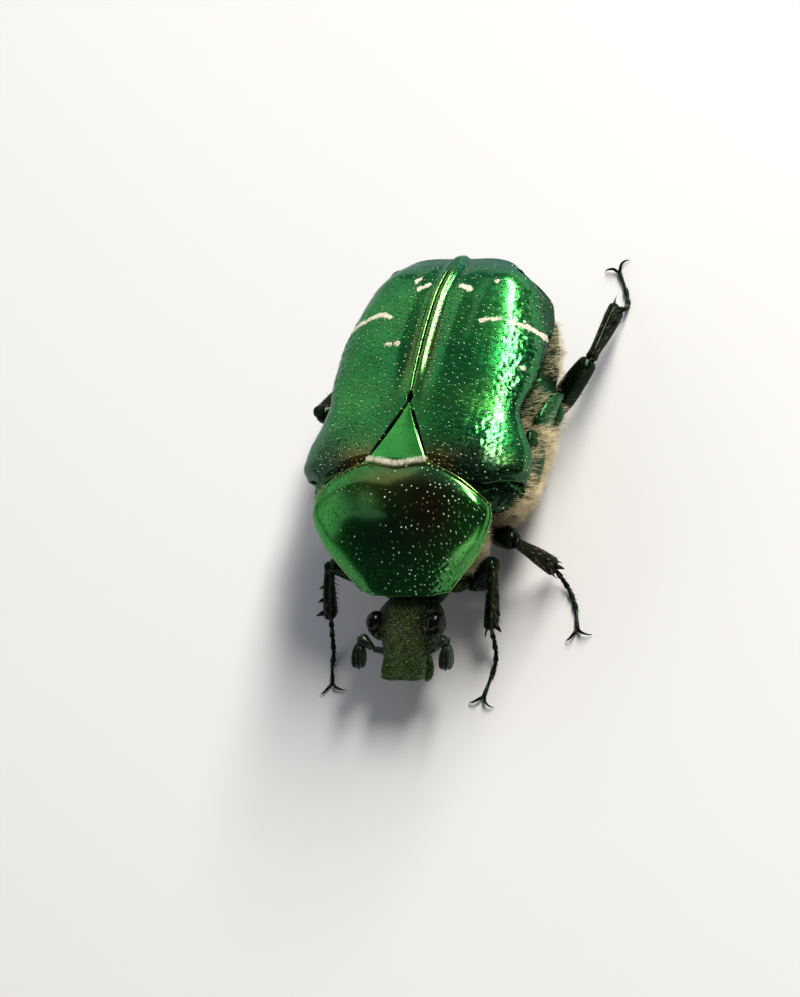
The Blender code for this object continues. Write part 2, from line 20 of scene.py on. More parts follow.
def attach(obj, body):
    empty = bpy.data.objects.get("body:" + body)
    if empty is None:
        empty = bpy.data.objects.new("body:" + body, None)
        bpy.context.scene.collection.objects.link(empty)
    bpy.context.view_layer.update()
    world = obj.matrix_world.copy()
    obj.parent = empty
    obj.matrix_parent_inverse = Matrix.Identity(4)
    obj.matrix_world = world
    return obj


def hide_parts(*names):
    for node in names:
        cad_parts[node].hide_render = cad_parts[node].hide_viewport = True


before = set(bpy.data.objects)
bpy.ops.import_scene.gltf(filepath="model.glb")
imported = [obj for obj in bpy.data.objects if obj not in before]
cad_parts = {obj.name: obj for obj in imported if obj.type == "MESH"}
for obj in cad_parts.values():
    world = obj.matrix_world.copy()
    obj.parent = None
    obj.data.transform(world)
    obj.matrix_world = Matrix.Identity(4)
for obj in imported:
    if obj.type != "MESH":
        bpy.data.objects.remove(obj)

Array = np.ndarray
Colour = tuple[float, float, float]
Point = tuple[float, float, float]
LOG = logging.getLogger("rose_chafer")

MM = 0.001
BODY_TO_FRAME = np.array([0.15, -2.69, 4.7])
FLOOR = -4.7
SKIN_MAP = "shell"
ATLAS_MAP = "skin"
COAT_MAP = "OFBake"
TUFT_PATCH = 0.003


class Side(Enum):
    """The beetle's own left and right."""

    LEFT = 1
    RIGHT = -1

    @property
    def word(self) -> str:
        """The side's name as the solids' names use it."""
        return self.name.lower()


class PitShape(Enum):
    """How the fine punctures of a shell plate look."""

    ROUND = "round"
    CRESCENT = "crescent"


class Curve:
    """A curve through (place, value) stations that never overshoots them."""

    def __init__(self, *stations: tuple[float, float]) -> None:
        """Works out the slope at each station.

        Args:
            stations: (place, value) pairs in rising order of place.
        """
        self.places, self.values = np.array(stations, float).T
        steps = np.diff(self.places)
        rises = np.diff(self.values) / steps
        slopes = np.zeros(len(self.places))
        for k in range(1, len(steps)):
            if rises[k - 1] * rises[k] > 0.0:
                slopes[k] = 2.0 / (1.0 / rises[k - 1] + 1.0 / rises[k])
        slopes[0], slopes[-1] = rises[0], rises[-1]
        self.steps, self.slopes = steps, slopes

    def at(self, place: Array | float) -> Array:
        """The curve's value at one or many places.

        Args:
            place: places along the curve, held within its ends.

        Returns:
            The values, in the shape of the places.
        """
        place = np.clip(np.asarray(place, float), self.places[0], self.places[-1])
        k = np.minimum(np.searchsorted(self.places, place, side="right") - 1, len(self.steps) - 1)
        step = self.steps[k]
        t = (place - self.places[k]) / step
        start = self.values[k] * (1 + 2 * t) * (1 - t) ** 2 + self.slopes[k] * step * t * (1 - t) ** 2
        end = self.values[k + 1] * t * t * (3 - 2 * t) - self.slopes[k + 1] * step * t * t * (1 - t)
        return start + end


def fade(value: Array | float, start: float, end: float) -> Array:
    """An even rise from 0 at start to 1 at end.

    Args:
        value: what is tested.
        start: where the rise begins.
        end: where it is complete.

    Returns:
        Numbers from 0 to 1.
    """
    t = np.clip((np.asarray(value, float) - start) / (end - start), 0.0, 1.0)
    return t * t * (3 - 2 * t)


def hill(value: Array | float, middle: float, reach: float) -> Array:
    """A rounded rise of height 1 at its middle that fades out over its reach."""
    return np.exp(-(((np.asarray(value, float) - middle) / reach) ** 2))


def unit(vectors: Array | Sequence[float]) -> Array:
    """The same directions with length 1."""
    vectors = np.asarray(vectors, float)
    return vectors / np.maximum(np.linalg.norm(vectors, axis=-1, keepdims=True), 1e-12)


def swell(points: Array, wavelength: float, seed: int, waves: int = 9) -> Array:
    """Gentle unevenness: a sum of seeded sine waves that run in many directions.

    Args:
        points: points in the body frame.
        wavelength: the mean length of a wave, in mm.
        seed: fixes the waves.
        waves: how many are summed.

    Returns:
        Numbers of about -1 to 1, one for each point.
    """
    dice = np.random.default_rng(seed)
    total = np.zeros(points.shape[:-1])
    for _ in range(waves):
        heading = unit(dice.normal(size=3)) * 2 * math.pi / (wavelength * dice.uniform(0.6, 1.6))
        total += np.sin(points @ heading + dice.uniform(0, 2 * math.pi))
    return total / math.sqrt(waves)


def arc_length(grid: Array, axis: int) -> Array:
    """Distance run along the rows (axis 0) or the columns (axis 1) of a grid of points."""
    steps = np.linalg.norm(np.diff(grid, axis=axis), axis=-1)
    first = np.zeros_like(np.take(steps, [0], axis=axis))
    return np.concatenate([first, np.cumsum(steps, axis=axis)], axis=axis)


def grid_normals(grid: Array) -> Array:
    """Unit normals of a grid of points, by the turn from its rows to its columns."""
    return unit(np.cross(np.gradient(grid, axis=0), np.gradient(grid, axis=1)))


def upward_normals(grid: Array) -> Array:
    """Unit normals of a grid of points, turned so that they point up on the whole."""
    normals = grid_normals(grid)
    return normals * np.sign(normals[..., 2].mean())


def layered(shape: tuple[int, ...], base: Colour, *layers: tuple[Colour, Array]) -> Array:
    """Colours built up from a base colour.

    Args:
        shape: the shape of the array of points that they belong to.
        base: the colour under everything.
        layers: the colours over it, each with its share at every point.

    Returns:
        One colour for each point.
    """
    colours = np.ones(shape) * np.array(base)
    for colour, share in layers:
        share = np.clip(share, 0, 1)[..., None]
        colours = colours * (1 - share) + np.array(colour) * share
    return colours


def section(count: int, squareness: float) -> tuple[Array, Array]:
    """How far across and up the points around a section stand, from -1 to 1: an oval at 2, squarer above it."""
    angle = 2 * math.pi * (np.arange(count) + 0.5) / count
    across, up = np.cos(angle), np.sin(angle)
    power = 2.0 / squareness
    return np.sign(across) * np.abs(across) ** power, np.sign(up) * np.abs(up) ** power


@dataclass
class Patch:
    """One part of a mesh: its points, its faces and what they carry."""

    points: Array
    faces: list[tuple[int, ...]]
    corners: list[list[tuple[float, float]]]
    values: dict[str, Array] = field(default_factory=dict)
    comb: Array | None = None


class Form:
    """The mesh of one piece, gathered from closed lofts, shells and balls."""

    lip = 0.03

    def __init__(self) -> None:
        """Starts with nothing in it."""
        self.patches: list[Patch] = []

    def add(self, other: "Form") -> "Form":
        """Takes in the patches of another form."""
        self.patches.extend(other.patches)
        return self

    def paint(self, name: str, rule: Any) -> "Form":
        """Gives every point a value, by a rule on the points of a patch.

        Args:
            name: the value's name.
            rule: a function from an array of points to one value for each.

        Returns:
            This form.
        """
        for patch in self.patches:
            patch.values[name] = rule(patch.points)
        return self

    def comb(self, rule: Any) -> "Form":
        """Gives every point the heading that hairs lie along, by a rule on the points."""
        for patch in self.patches:
            patch.comb = unit(rule(patch.points))
        return self

    def loft(self, rings: Array, values: dict[str, Array] | None = None) -> "Form":
        """Adds a closed body through rings of equally many points, its ends closed by fans.

        Args:
            rings: points by ring and by place around the ring.
            values: values by ring and place, under their names.

        Returns:
            This form.
        """
        rows, count = rings.shape[:2]
        points = np.concatenate([rings.reshape(-1, 3), rings[:1].mean(axis=1), rings[-1:].mean(axis=1)])
        looped = np.concatenate([rings, rings[:, :1]], axis=1)
        along = arc_length(rings, 0).mean(axis=1)
        around = arc_length(looped, 1).max(axis=0)
        faces: list[tuple[int, ...]] = []
        corners: list[list[tuple[float, float]]] = []
        for row in range(rows - 1):
            for k in range(count):
                here, beside = row * count + k, row * count + (k + 1) % count
                faces.append((here, beside, beside + count, here + count))
                u0, u1, v0, v1 = around[k], around[k + 1], along[row], along[row + 1]
                corners.append([(u0, v0), (u1, v0), (u1, v1), (u0, v1)])
        for row, middle in ((0, rows * count), (rows - 1, rows * count + 1)):
            for k in range(count):
                here, beside = row * count + k, row * count + (k + 1) % count
                order = (beside, here, middle) if row == 0 else (here, beside, middle)
                faces.append(order)
                u0, u1, v = around[k], around[k + 1], along[row]
                ring = [(u1, v), (u0, v)] if row == 0 else [(u0, v), (u1, v)]
                corners.append(ring + [((u0 + u1) / 2, v)])
        held = {}
        for name, value in (values or {}).items():
            held[name] = np.concatenate([value.ravel(), [value[0].mean(), value[-1].mean()]])
        self.patches.append(Patch(points, faces, corners, held))
        return self

    def shell(self, outer: Array, wall: float, values: dict[str, Array] | None = None,
              from_middle: bool = False) -> "Form":
        """Adds a plate with a rounded edge: an open grid of points and its inside, a wall away.

        Args:
            outer: points by row and column, whose normals point up or outward.
            wall: the plate's thickness.
            values: values by row and column, under their names.
            from_middle: whether the plate's own map runs from its middle column.

        Returns:
            This form.
        """
        rows, columns = outer.shape[:2]
        normals = upward_normals(outer)
        inner = outer - normals * wall
        top = [(0, c) for c in range(columns)] + [(r, columns - 1) for r in range(1, rows)]
        rest = [(rows - 1, c) for c in range(columns - 2, -1, -1)] + [(r, 0) for r in range(rows - 2, 0, -1)]
        rim = np.array(top + rest)
        size = rows * columns
        flat_rim = rim[:, 0] * columns + rim[:, 1]
        inward = np.clip(rim, 1, [rows - 2, columns - 2])
        edge = outer[rim[:, 0], rim[:, 1]]
        away = unit(edge - outer[inward[:, 0], inward[:, 1]])
        up = normals[rim[:, 0], rim[:, 1]]
        away = unit(away - up * np.sum(away * up, axis=1, keepdims=True))
        lips = [edge - up * wall * (1 - math.cos(a)) / 2 + away * min(wall * 0.5, self.lip) * math.sin(a)
                for a in (math.pi * 0.25, math.pi * 0.5, math.pi * 0.75)]
        points = np.concatenate([outer.reshape(-1, 3), inner.reshape(-1, 3)] + lips)
        along, across = arc_length(outer, 0), arc_length(outer, 1)
        if from_middle:
            across = across - across[:, columns // 2, None]
            along = along[:, columns // 2, None] + 0 * across
        place = np.stack([across, along], axis=-1).reshape(-1, 2)
        places = np.concatenate([place, place] + [place[flat_rim]] * len(lips))
        faces: list[tuple[int, ...]] = []
        for row in range(rows - 1):
            start = np.arange(columns - 1) + row * columns
            ring = np.stack([start, start + 1, start + columns + 1, start + columns], axis=1)
            faces.extend(map(tuple, ring.tolist()))
            faces.extend(map(tuple, (ring[:, ::-1] + size).tolist()))
        count = len(rim)
        loops = [flat_rim] + [np.arange(count) + 2 * size + k * count for k in range(len(lips))] + [flat_rim + size]
        for above, below in zip(loops, loops[1:]):
            nextward = np.roll(np.arange(count), -1)
            ring = np.stack([above[nextward], above, below, below[nextward]], axis=1)
            faces.extend(map(tuple, ring.tolist()))
        corners = [[tuple(places[i]) for i in face] for face in faces]
        held = {}
        for name, value in (values or {}).items():
            inside = value * 0 if name == "hairs" else value
            held[name] = np.concatenate([value.ravel(), inside.ravel()] + [inside.ravel()[flat_rim]] * len(lips))
        self.patches.append(Patch(points, faces, corners, held))
        return self

    def spread(self, name: str, outer: Array, rest: Colour) -> "Form":
        """Lays colours on the last shell: by row and column on both its faces, and one on its rim.

        Args:
            name: the value's name.
            outer: colours by row and column.
            rest: the colour of the rim.

        Returns:
            This form.
        """
        patch = self.patches[-1]
        flat = outer.reshape(-1, 3)
        rim = np.tile(np.array(rest), (len(patch.points) - 2 * len(flat), 1))
        patch.values[name] = np.concatenate([flat, flat, rim])
        return self

    def tube(self, path: Sequence[Any], sizes: Sequence[Point], up: Sequence[float], stations: int, sides: int,
             squareness: float = 2.0, rounded: tuple[float, float] = (0.0, 0.0)) -> "Form":
        """Adds an oval limb along a smooth path.

        Args:
            path: points on its middle line.
            sizes: (place, half width, half height) from 0 to 1 along it.
            up: the direction of its height.
            stations: rings along it.
            sides: points around it.
            squareness: 2 for an oval, more for a squared section.
            rounded: how much of each end is drawn in to a dome.

        Returns:
            This form.
        """
        points = np.array([np.asarray(p, float) for p in path])
        run = arc_length(points[:, None], 0)[:, 0]
        share = run / run[-1]
        axes = [Curve(*zip(share, points[:, k])) for k in range(3)]
        place = 0.5 - 0.5 * np.cos(np.linspace(0, math.pi, stations))
        middle = np.stack([axis.at(place) for axis in axes], axis=1)
        ahead = unit(np.stack([axis.at(place + 0.01) - axis.at(place - 0.01) for axis in axes], axis=1))
        aside = unit(np.cross(ahead, np.asarray(up, float)))
        above = np.cross(aside, ahead)
        places = [s[0] for s in sizes]
        wide = Curve(*zip(places, [s[1] for s in sizes])).at(place)
        high = Curve(*zip(places, [s[2] for s in sizes])).at(place)
        dome = np.ones(stations)
        for reach, inset in ((rounded[0], place), (rounded[1], 1 - place)):
            if reach > 0:
                dome *= np.sqrt(np.clip(1 - (1 - np.clip(inset / reach, 0, 1)) ** 2, 0.0004, 1))
        c, s = section(sides, squareness)
        rings = (middle[:, None] + aside[:, None] * (wide * dome)[:, None, None] * c[None, :, None]
                 + above[:, None] * (high * dome)[:, None, None] * s[None, :, None])
        return self.loft(rings)

    def ball(self, middle: Sequence[float], radii: Sequence[float], sides: int = 20, rows: int = 12) -> "Form":
        """Adds an ellipsoid with these half axes.

        Args:
            middle: its middle.
            radii: its half axes.
            sides: points around it.
            rows: rings from pole to pole.

        Returns:
            This form.
        """
        tilt = np.linspace(0.02, math.pi - 0.02, rows)
        turn = 2 * math.pi * np.arange(sides) / sides
        rings = np.stack([np.sin(tilt)[:, None] * np.cos(turn), np.sin(tilt)[:, None] * np.sin(turn),
                          np.repeat(np.cos(tilt)[:, None], sides, axis=1)], axis=-1)
        return self.loft(np.asarray(middle, float) + rings * np.asarray(radii, float))

    def spine(self, root: Sequence[float], tip: Sequence[float], radius: float, bend: Sequence[float] = (0, 0, 0),
              sides: int = 8) -> "Form":
        """Adds a tapered spine, bowed by a shift of its middle.

        Args:
            root: the middle of its base.
            tip: its point.
            radius: its radius at the base.
            bend: the shift of its middle.
            sides: points around it.

        Returns:
            This form.
        """
        root, tip = np.asarray(root, float), np.asarray(tip, float)
        up = (0.1, 0.2, 1) if abs(unit(tip - root)[2]) < 0.9 else (0.1, 1, 0)
        path = [root, (root + tip) / 2 + np.asarray(bend, float), tip]
        sizes = [(0.0, radius, radius), (0.5, radius * 0.68, radius * 0.68), (1.0, radius * 0.12, radius * 0.12)]
        return self.tube(path, sizes, up, 9, sides, rounded=(0.0, 0.12))

    def build(self, name: str, smooth_under: float = 55.0) -> bpy.types.Object:
        """Makes the object, with its maps and values, its faces turned outward.

        Args:
            name: the piece's name.
            smooth_under: the angle in degrees above which an edge stays sharp.

        Returns:
            The object, at the origin, its place in its mesh.
        """
        points, faces, shell_map, atlas_map = [], [], [], []
        names = sorted({key for patch in self.patches for key in patch.values})
        cells = math.ceil(math.sqrt(len(self.patches)))
        start = 0
        for k, patch in enumerate(self.patches):
            points.append(patch.points)
            faces.extend([tuple(i + start for i in face) for face in patch.faces])
            flat = np.array([corner for face in patch.corners for corner in face], float)
            low, high = flat.min(axis=0), flat.max(axis=0)
            inside = (flat - low) / np.maximum(high - low, 1e-9) * 0.94 + 0.03
            shell_map.append(flat)
            atlas_map.append((inside + [k % cells, k // cells]) / cells)
            start += len(patch.points)
        mesh = bpy.data.meshes.new(name)
        stacked = (np.concatenate(points) + BODY_TO_FRAME) * MM
        mesh.from_pydata(stacked.tolist(), [], faces)
        for map_name, parts in ((SKIN_MAP, shell_map), (ATLAS_MAP, atlas_map)):
            layer = mesh.uv_layers.new(name=map_name)
            layer.uv.foreach_set("vector", np.concatenate(parts).astype(np.float32).ravel())
        for key in names:
            value = [p.values.get(key, np.zeros(len(p.points))) for p in self.patches]
            if value[0].ndim == 2:
                shade = mesh.attributes.new(key, "FLOAT_COLOR", "POINT")
                full = np.concatenate(value)
                shade.data.foreach_set("color", np.c_[full, np.ones(len(full))].astype(np.float32).ravel())
            else:
                amount = mesh.attributes.new(key, "FLOAT", "POINT")
                amount.data.foreach_set("value", np.concatenate(value).astype(np.float32))
        if any(patch.comb is not None for patch in self.patches):
            heading = mesh.attributes.new("comb", "FLOAT_VECTOR", "POINT")
            combs = [np.zeros_like(p.points) if p.comb is None else p.comb for p in self.patches]
            heading.data.foreach_set("vector", np.concatenate(combs).astype(np.float32).ravel())
        work = bmesh.new()
        work.from_mesh(mesh)
        bmesh.ops.recalc_face_normals(work, faces=work.faces)
        work.to_mesh(mesh)
        work.free()
        mesh.shade_smooth()
        mesh.set_sharp_from_angle(angle=math.radians(smooth_under))
        made = bpy.data.objects.new(name, mesh)
        bpy.context.scene.collection.objects.link(made)
        return made


class Web:
    """A node tree under construction, with one short call for each kind of step."""

    def __init__(self, tree: bpy.types.NodeTree) -> None:
        """Holds the tree that the nodes go into."""
        self.tree = tree

    def add(self, kind: str, inputs: dict[Any, Any] | None = None, **settings: Any) -> bpy.types.Node:
        """Adds a node.

        Args:
            kind: the node's type name.
            inputs: values or output sockets, by input name or number.
            settings: the node's own options.

        Returns:
            The node.
        """
        node = self.tree.nodes.new(kind)
        for key, value in settings.items():
            setattr(node, key, value)
        self.fill(node, inputs or {})
        return node

    def fill(self, node: bpy.types.Node, inputs: dict[Any, Any]) -> None:
        """Sets or links a node's inputs, by their names or numbers.

        Args:
            node: the node.
            inputs: values or output sockets, by input name or number.
        """
        for key, value in inputs.items():
            if isinstance(value, bpy.types.NodeSocket):
                self.tree.links.new(value, node.inputs[key])
            else:
                node.inputs[key].default_value = value

    def math(self, operation: str, first: Any, second: Any = 0.0, third: Any = 0.0) -> bpy.types.NodeSocket:
        """One arithmetic step on numbers or sockets."""
        kind = "ShaderNodeMath"
        return self.add(kind, {0: first, 1: second, 2: third}, operation=operation).outputs[0]

    def vector(self, operation: str, first: Any, second: Any = (0, 0, 0)) -> bpy.types.NodeSocket:
        """One step on vectors."""
        return self.add("ShaderNodeVectorMath", {0: first, 1: second}, operation=operation).outputs[0]

    def scale(self, vector: Any, factor: Any) -> bpy.types.NodeSocket:
        """A vector made longer or shorter."""
        return self.add("ShaderNodeVectorMath", {0: vector, "Scale": factor}, operation="SCALE").outputs[0]

    def ease(self, value: Any, low: Any, high: Any, start: float = 0.0, end: float = 1.0) -> bpy.types.NodeSocket:
        """A smooth step from start at low to end at high."""
        inputs = {"Value": value, 1: low, 2: high, 3: start, 4: end}
        return self.add("ShaderNodeMapRange", inputs, interpolation_type="SMOOTHSTEP").outputs[0]

    def mix(self, share: Any, first: Any, second: Any, blend: str = "MIX") -> bpy.types.NodeSocket:
        """A colour between two colours."""
        inputs = {0: share, 6: first, 7: second}
        return self.add("ShaderNodeMix", inputs, data_type="RGBA", blend_type=blend).outputs[2]

    def noise(self, place: Any, scale: float, detail: float = 2.0, rough: float = 0.5) -> bpy.types.NodeSocket:
        """Noise from about 0.3 to 0.7 at a scale in waves for each unit of place."""
        inputs = {"Vector": place, "Scale": scale, "Detail": detail, "Roughness": rough}
        return self.add("ShaderNodeTexNoise", inputs).outputs[0]

    def place(self) -> bpy.types.NodeSocket:
        """The point on the piece, in mm."""
        here = self.add("ShaderNodeTexCoord").outputs["Object"]
        return self.add("ShaderNodeMapping", {0: here, 3: (1 / MM, 1 / MM, 1 / MM)}).outputs[0]

    def value(self, name: str) -> bpy.types.Node:
        """A named value that the mesh carries, for a material."""
        return self.add("ShaderNodeAttribute", attribute_name=name, attribute_type="GEOMETRY")

    def carried(self, name: str, kind: str = "FLOAT_VECTOR") -> bpy.types.NodeSocket:
        """A named value that the mesh carries, for a geometry tree."""
        return self.add("GeometryNodeInputNamedAttribute", {0: name}, data_type=kind).outputs[0]


def start_finish(name: str) -> tuple[bpy.types.Material, Web, bpy.types.Node]:
    """A new material, its tree under construction and its surface node."""
    made = bpy.data.materials.new(name)
    made.use_nodes = True
    return made, Web(made.node_tree), made.node_tree.nodes["Principled BSDF"]


def solid(colour: Colour) -> tuple[float, float, float, float]:
    """The colour as a socket takes it."""
    return (*colour, 1.0)


@dataclass(frozen=True)
class Cuticle:
    """The finish of a shell plate or a limb: metallic colour, punctures with painted shade and painted glints, and fine
    grain.

    The mesh carries its colour as the value tint, and its share of punctures as the value pits; the value unlit, where
    a piece has it, leaves out painted glints as painted shade. Lengths are in millimetres.
    """

    name: str
    metallic: float = 0.9
    roughness: float = 0.25
    edge_tint: Colour = (0.6, 1.0, 0.7)
    pit_spacing: float = 0.28
    pit_radius: float = 0.06
    pit_depth: float = 0.03
    pit_shape: PitShape = PitShape.ROUND
    # How far the punctures' colour goes to the near-black pit colour: painted shade inside them.
    pit_shade: float = 0.6
    # Share of punctures with a pale, non-metal dot at the middle: painted glints of light.
    painted_glint: float = 0.0
    painted_glint_radius: float = 0.045
    painted_glint_colour: Colour = (0.8, 0.9, 0.6)
    grain_scale: float = 14.0
    grain_depth: float = 0.004
    coat: float = 0.4
    marked: bool = False
    mark_colour: Colour = (0.78, 0.7, 0.52)
    mark_roughness: float = 0.6
    # The near-black colour of the painted shade inside the punctures.
    pit_shade_colour: Colour = (0.004, 0.008, 0.003)
    cloud_dark: Colour = (0.55, 0.55, 0.55)
    coat_roughness: float = 0.12

    def material(self) -> bpy.types.Material:
        """Builds the material.

        Returns:
            The material, with its colour, gloss and relief from nodes.
        """
        made, web, surface = start_finish(self.name)
        here = web.add("ShaderNodeUVMap", uv_map=SKIN_MAP).outputs[0]
        place = web.place()
        cloud = web.ease(web.noise(place, 1.3, 3.0), 0.3, 0.7)
        cloud_colour = web.mix(cloud, solid(self.cloud_dark), solid((1, 1, 1)))
        colour = web.mix(0.5, web.value("tint").outputs["Color"], cloud_colour, "MULTIPLY")
        pit, centre, chance = self._pits(web, here)
        # Painted shade: the punctures' colour goes towards near black, on top of their bump relief.
        colour = web.mix(web.math("MULTIPLY", pit, self.pit_shade), colour, solid(self.pit_shade_colour))
        metallic: Any = self.metallic
        low, high = self.roughness * 0.8, self.roughness * 1.25
        roughness = web.ease(web.noise(place, 4.0, 2.0), 0.3, 0.7, low, high)
        # Painted highlights: pale dots at the middles of some punctures stand in for glints of light, fewer where the
        # value unlit asks for painted shade.
        if self.painted_glint > 0:
            over = web.math("SUBTRACT", web.math("ADD", chance, web.value("unlit").outputs["Fac"]), self.painted_glint)
            lit = web.math("MULTIPLY", centre, web.ease(over, 0.02, -0.02))
            colour = web.mix(lit, colour, solid(self.painted_glint_colour))
            metallic = web.math("MULTIPLY", web.math("SUBTRACT", 1.0, lit), self.metallic)
        height = web.math("SUBTRACT", 1.0, pit)
        if self.marked:
            wear = web.math("SUBTRACT", web.noise(place, 4.5, 4.0, 0.7), 0.52)
            reach = web.math("ADD", web.value("mark").outputs["Fac"], web.math("MULTIPLY", wear, 0.55))
            mark = web.ease(reach, 0.035, -0.02)
            colour = web.mix(mark, colour, solid(self.mark_colour))
            metallic = web.math("MULTIPLY", web.math("SUBTRACT", 1.0, mark), metallic)
            roughness = web.math("MAXIMUM", roughness, web.math("MULTIPLY", mark, self.mark_roughness))
            height = web.math("ADD", height, web.math("MULTIPLY", mark, 0.6))
        grain = web.noise(place, self.grain_scale, 3.0, 0.6)
        first = web.add("ShaderNodeBump", {"Strength": 1.0, "Distance": self.grain_depth * MM, "Height": grain})
        second = web.add("ShaderNodeBump", {"Strength": 1.0, "Distance": self.pit_depth * MM, "Height": height,
                                            "Normal": first.outputs[0]})
        web.fill(surface, {"Base Color": colour, "Metallic": metallic, "Roughness": roughness,
                           "Normal": second.outputs[0], "Specular Tint": solid(self.edge_tint),
                           "Coat Weight": self.coat, "Coat Roughness": self.coat_roughness})
        return made

    def _pits(self, web: Web, here: bpy.types.NodeSocket) -> tuple[Any, Any, Any]:
        """The punctures, on the plate's own map.

        Args:
            web: the tree under construction.
            here: the place on the map, in mm.

        Returns:
            How deep in a puncture a point is, how near the middle of its painted glint, and the puncture's own chance
            number.
        """
        cells = web.add("ShaderNodeTexVoronoi", {"Vector": here, "Scale": 1 / self.pit_spacing, "Randomness": 0.85},
                        voronoi_dimensions="2D", feature="F1")
        radius = web.math("MULTIPLY", cells.outputs["Distance"], self.pit_spacing)
        chances = web.add("ShaderNodeSeparateColor", {0: cells.outputs["Color"]}).outputs
        there = web.ease(web.math("SUBTRACT", web.value("pits").outputs["Fac"], chances[0]), -0.02, 0.02)
        if self.pit_shape is PitShape.CRESCENT:
            off = web.vector("SUBTRACT", here, cells.outputs["Position"])
            rear = web.math("DIVIDE", web.add("ShaderNodeSeparateXYZ", {0: off}).outputs[1],
                            web.math("MAXIMUM", radius, 0.001))
            ring = web.math("ABSOLUTE", web.math("SUBTRACT", radius, self.pit_radius * 0.75))
            pit = web.math("MULTIPLY", web.ease(ring, self.pit_radius * 0.55, 0.0), web.ease(rear, -0.5, 0.4))
        else:
            pit = web.ease(radius, self.pit_radius, self.pit_radius * 0.25)
        pit = web.math("MULTIPLY", pit, there)
        reach = web.math("MULTIPLY", web.ease(chances[2], 0.0, 1.0, 0.55, 1.15), self.painted_glint_radius)
        centre = web.math("MULTIPLY", web.ease(web.math("DIVIDE", radius, reach), 1.0, 0.5), there)
        centre = web.math("MULTIPLY", centre, web.ease(chances[2], 0.0, 1.0, 0.3, 1.0))
        return pit, centre, chances[1]


@dataclass(frozen=True)
class EyeGloss:
    """The finish of a compound eye: near black, glossy, with a close net of facets."""

    name: str = "eye_gloss"
    facet: float = 0.035
    colour: Colour = (0.002, 0.002, 0.002)
    warm: Colour = (0.006, 0.004, 0.002)
    lump: float = 0.003
    gloss: float = 0.2

    def material(self) -> bpy.types.Material:
        """Builds the material.

        Returns:
            The material.
        """
        made, web, surface = start_finish(self.name)
        place = web.place()
        facets = web.add("ShaderNodeTexVoronoi", {"Vector": place, "Scale": 1 / self.facet, "Randomness": 0.15})
        net = web.ease(facets.outputs["Distance"], 0.25, 0.6)
        colour = web.mix(web.ease(web.noise(place, 2.0), 0.4, 0.65), solid(self.colour), solid(self.warm))
        lump = web.add("ShaderNodeBump", {"Strength": 0.3, "Distance": self.lump * MM, "Height": net}).outputs[0]
        web.fill(surface, {"Base Color": colour, "Normal": lump, "Roughness": web.ease(net, 0.0, 1.0, 0.06, 0.12),
                           "Specular IOR Level": self.gloss})
        return made


@dataclass(frozen=True)
class SetaFinish:
    """The finish of the hairs, from a darker root to a lighter tip."""

    name: str
    root: Colour
    tip: Colour
    roughness: float = 0.42
    sheen: float = 0.2

    def material(self) -> bpy.types.Material:
        """Builds the material.

        Returns:
            The material.
        """
        made, web, surface = start_finish(self.name)
        along = web.value("strand").outputs["Fac"]
        colour = web.mix(web.ease(along, 0.0, 0.6), solid(self.root), solid(self.tip))
        shade = web.ease(web.noise(web.place(), 3.0), 0.3, 0.7, 0.6, 1.1)
        grey = web.add("ShaderNodeCombineColor", {0: shade, 1: shade, 2: shade}).outputs[0]
        web.fill(surface, {"Base Color": web.mix(1.0, colour, grey, "MULTIPLY"), "Sheen Weight": self.sheen,
                           "Roughness": web.ease(along, 0.0, 1.0, self.roughness, self.roughness * 0.8)})
        return made


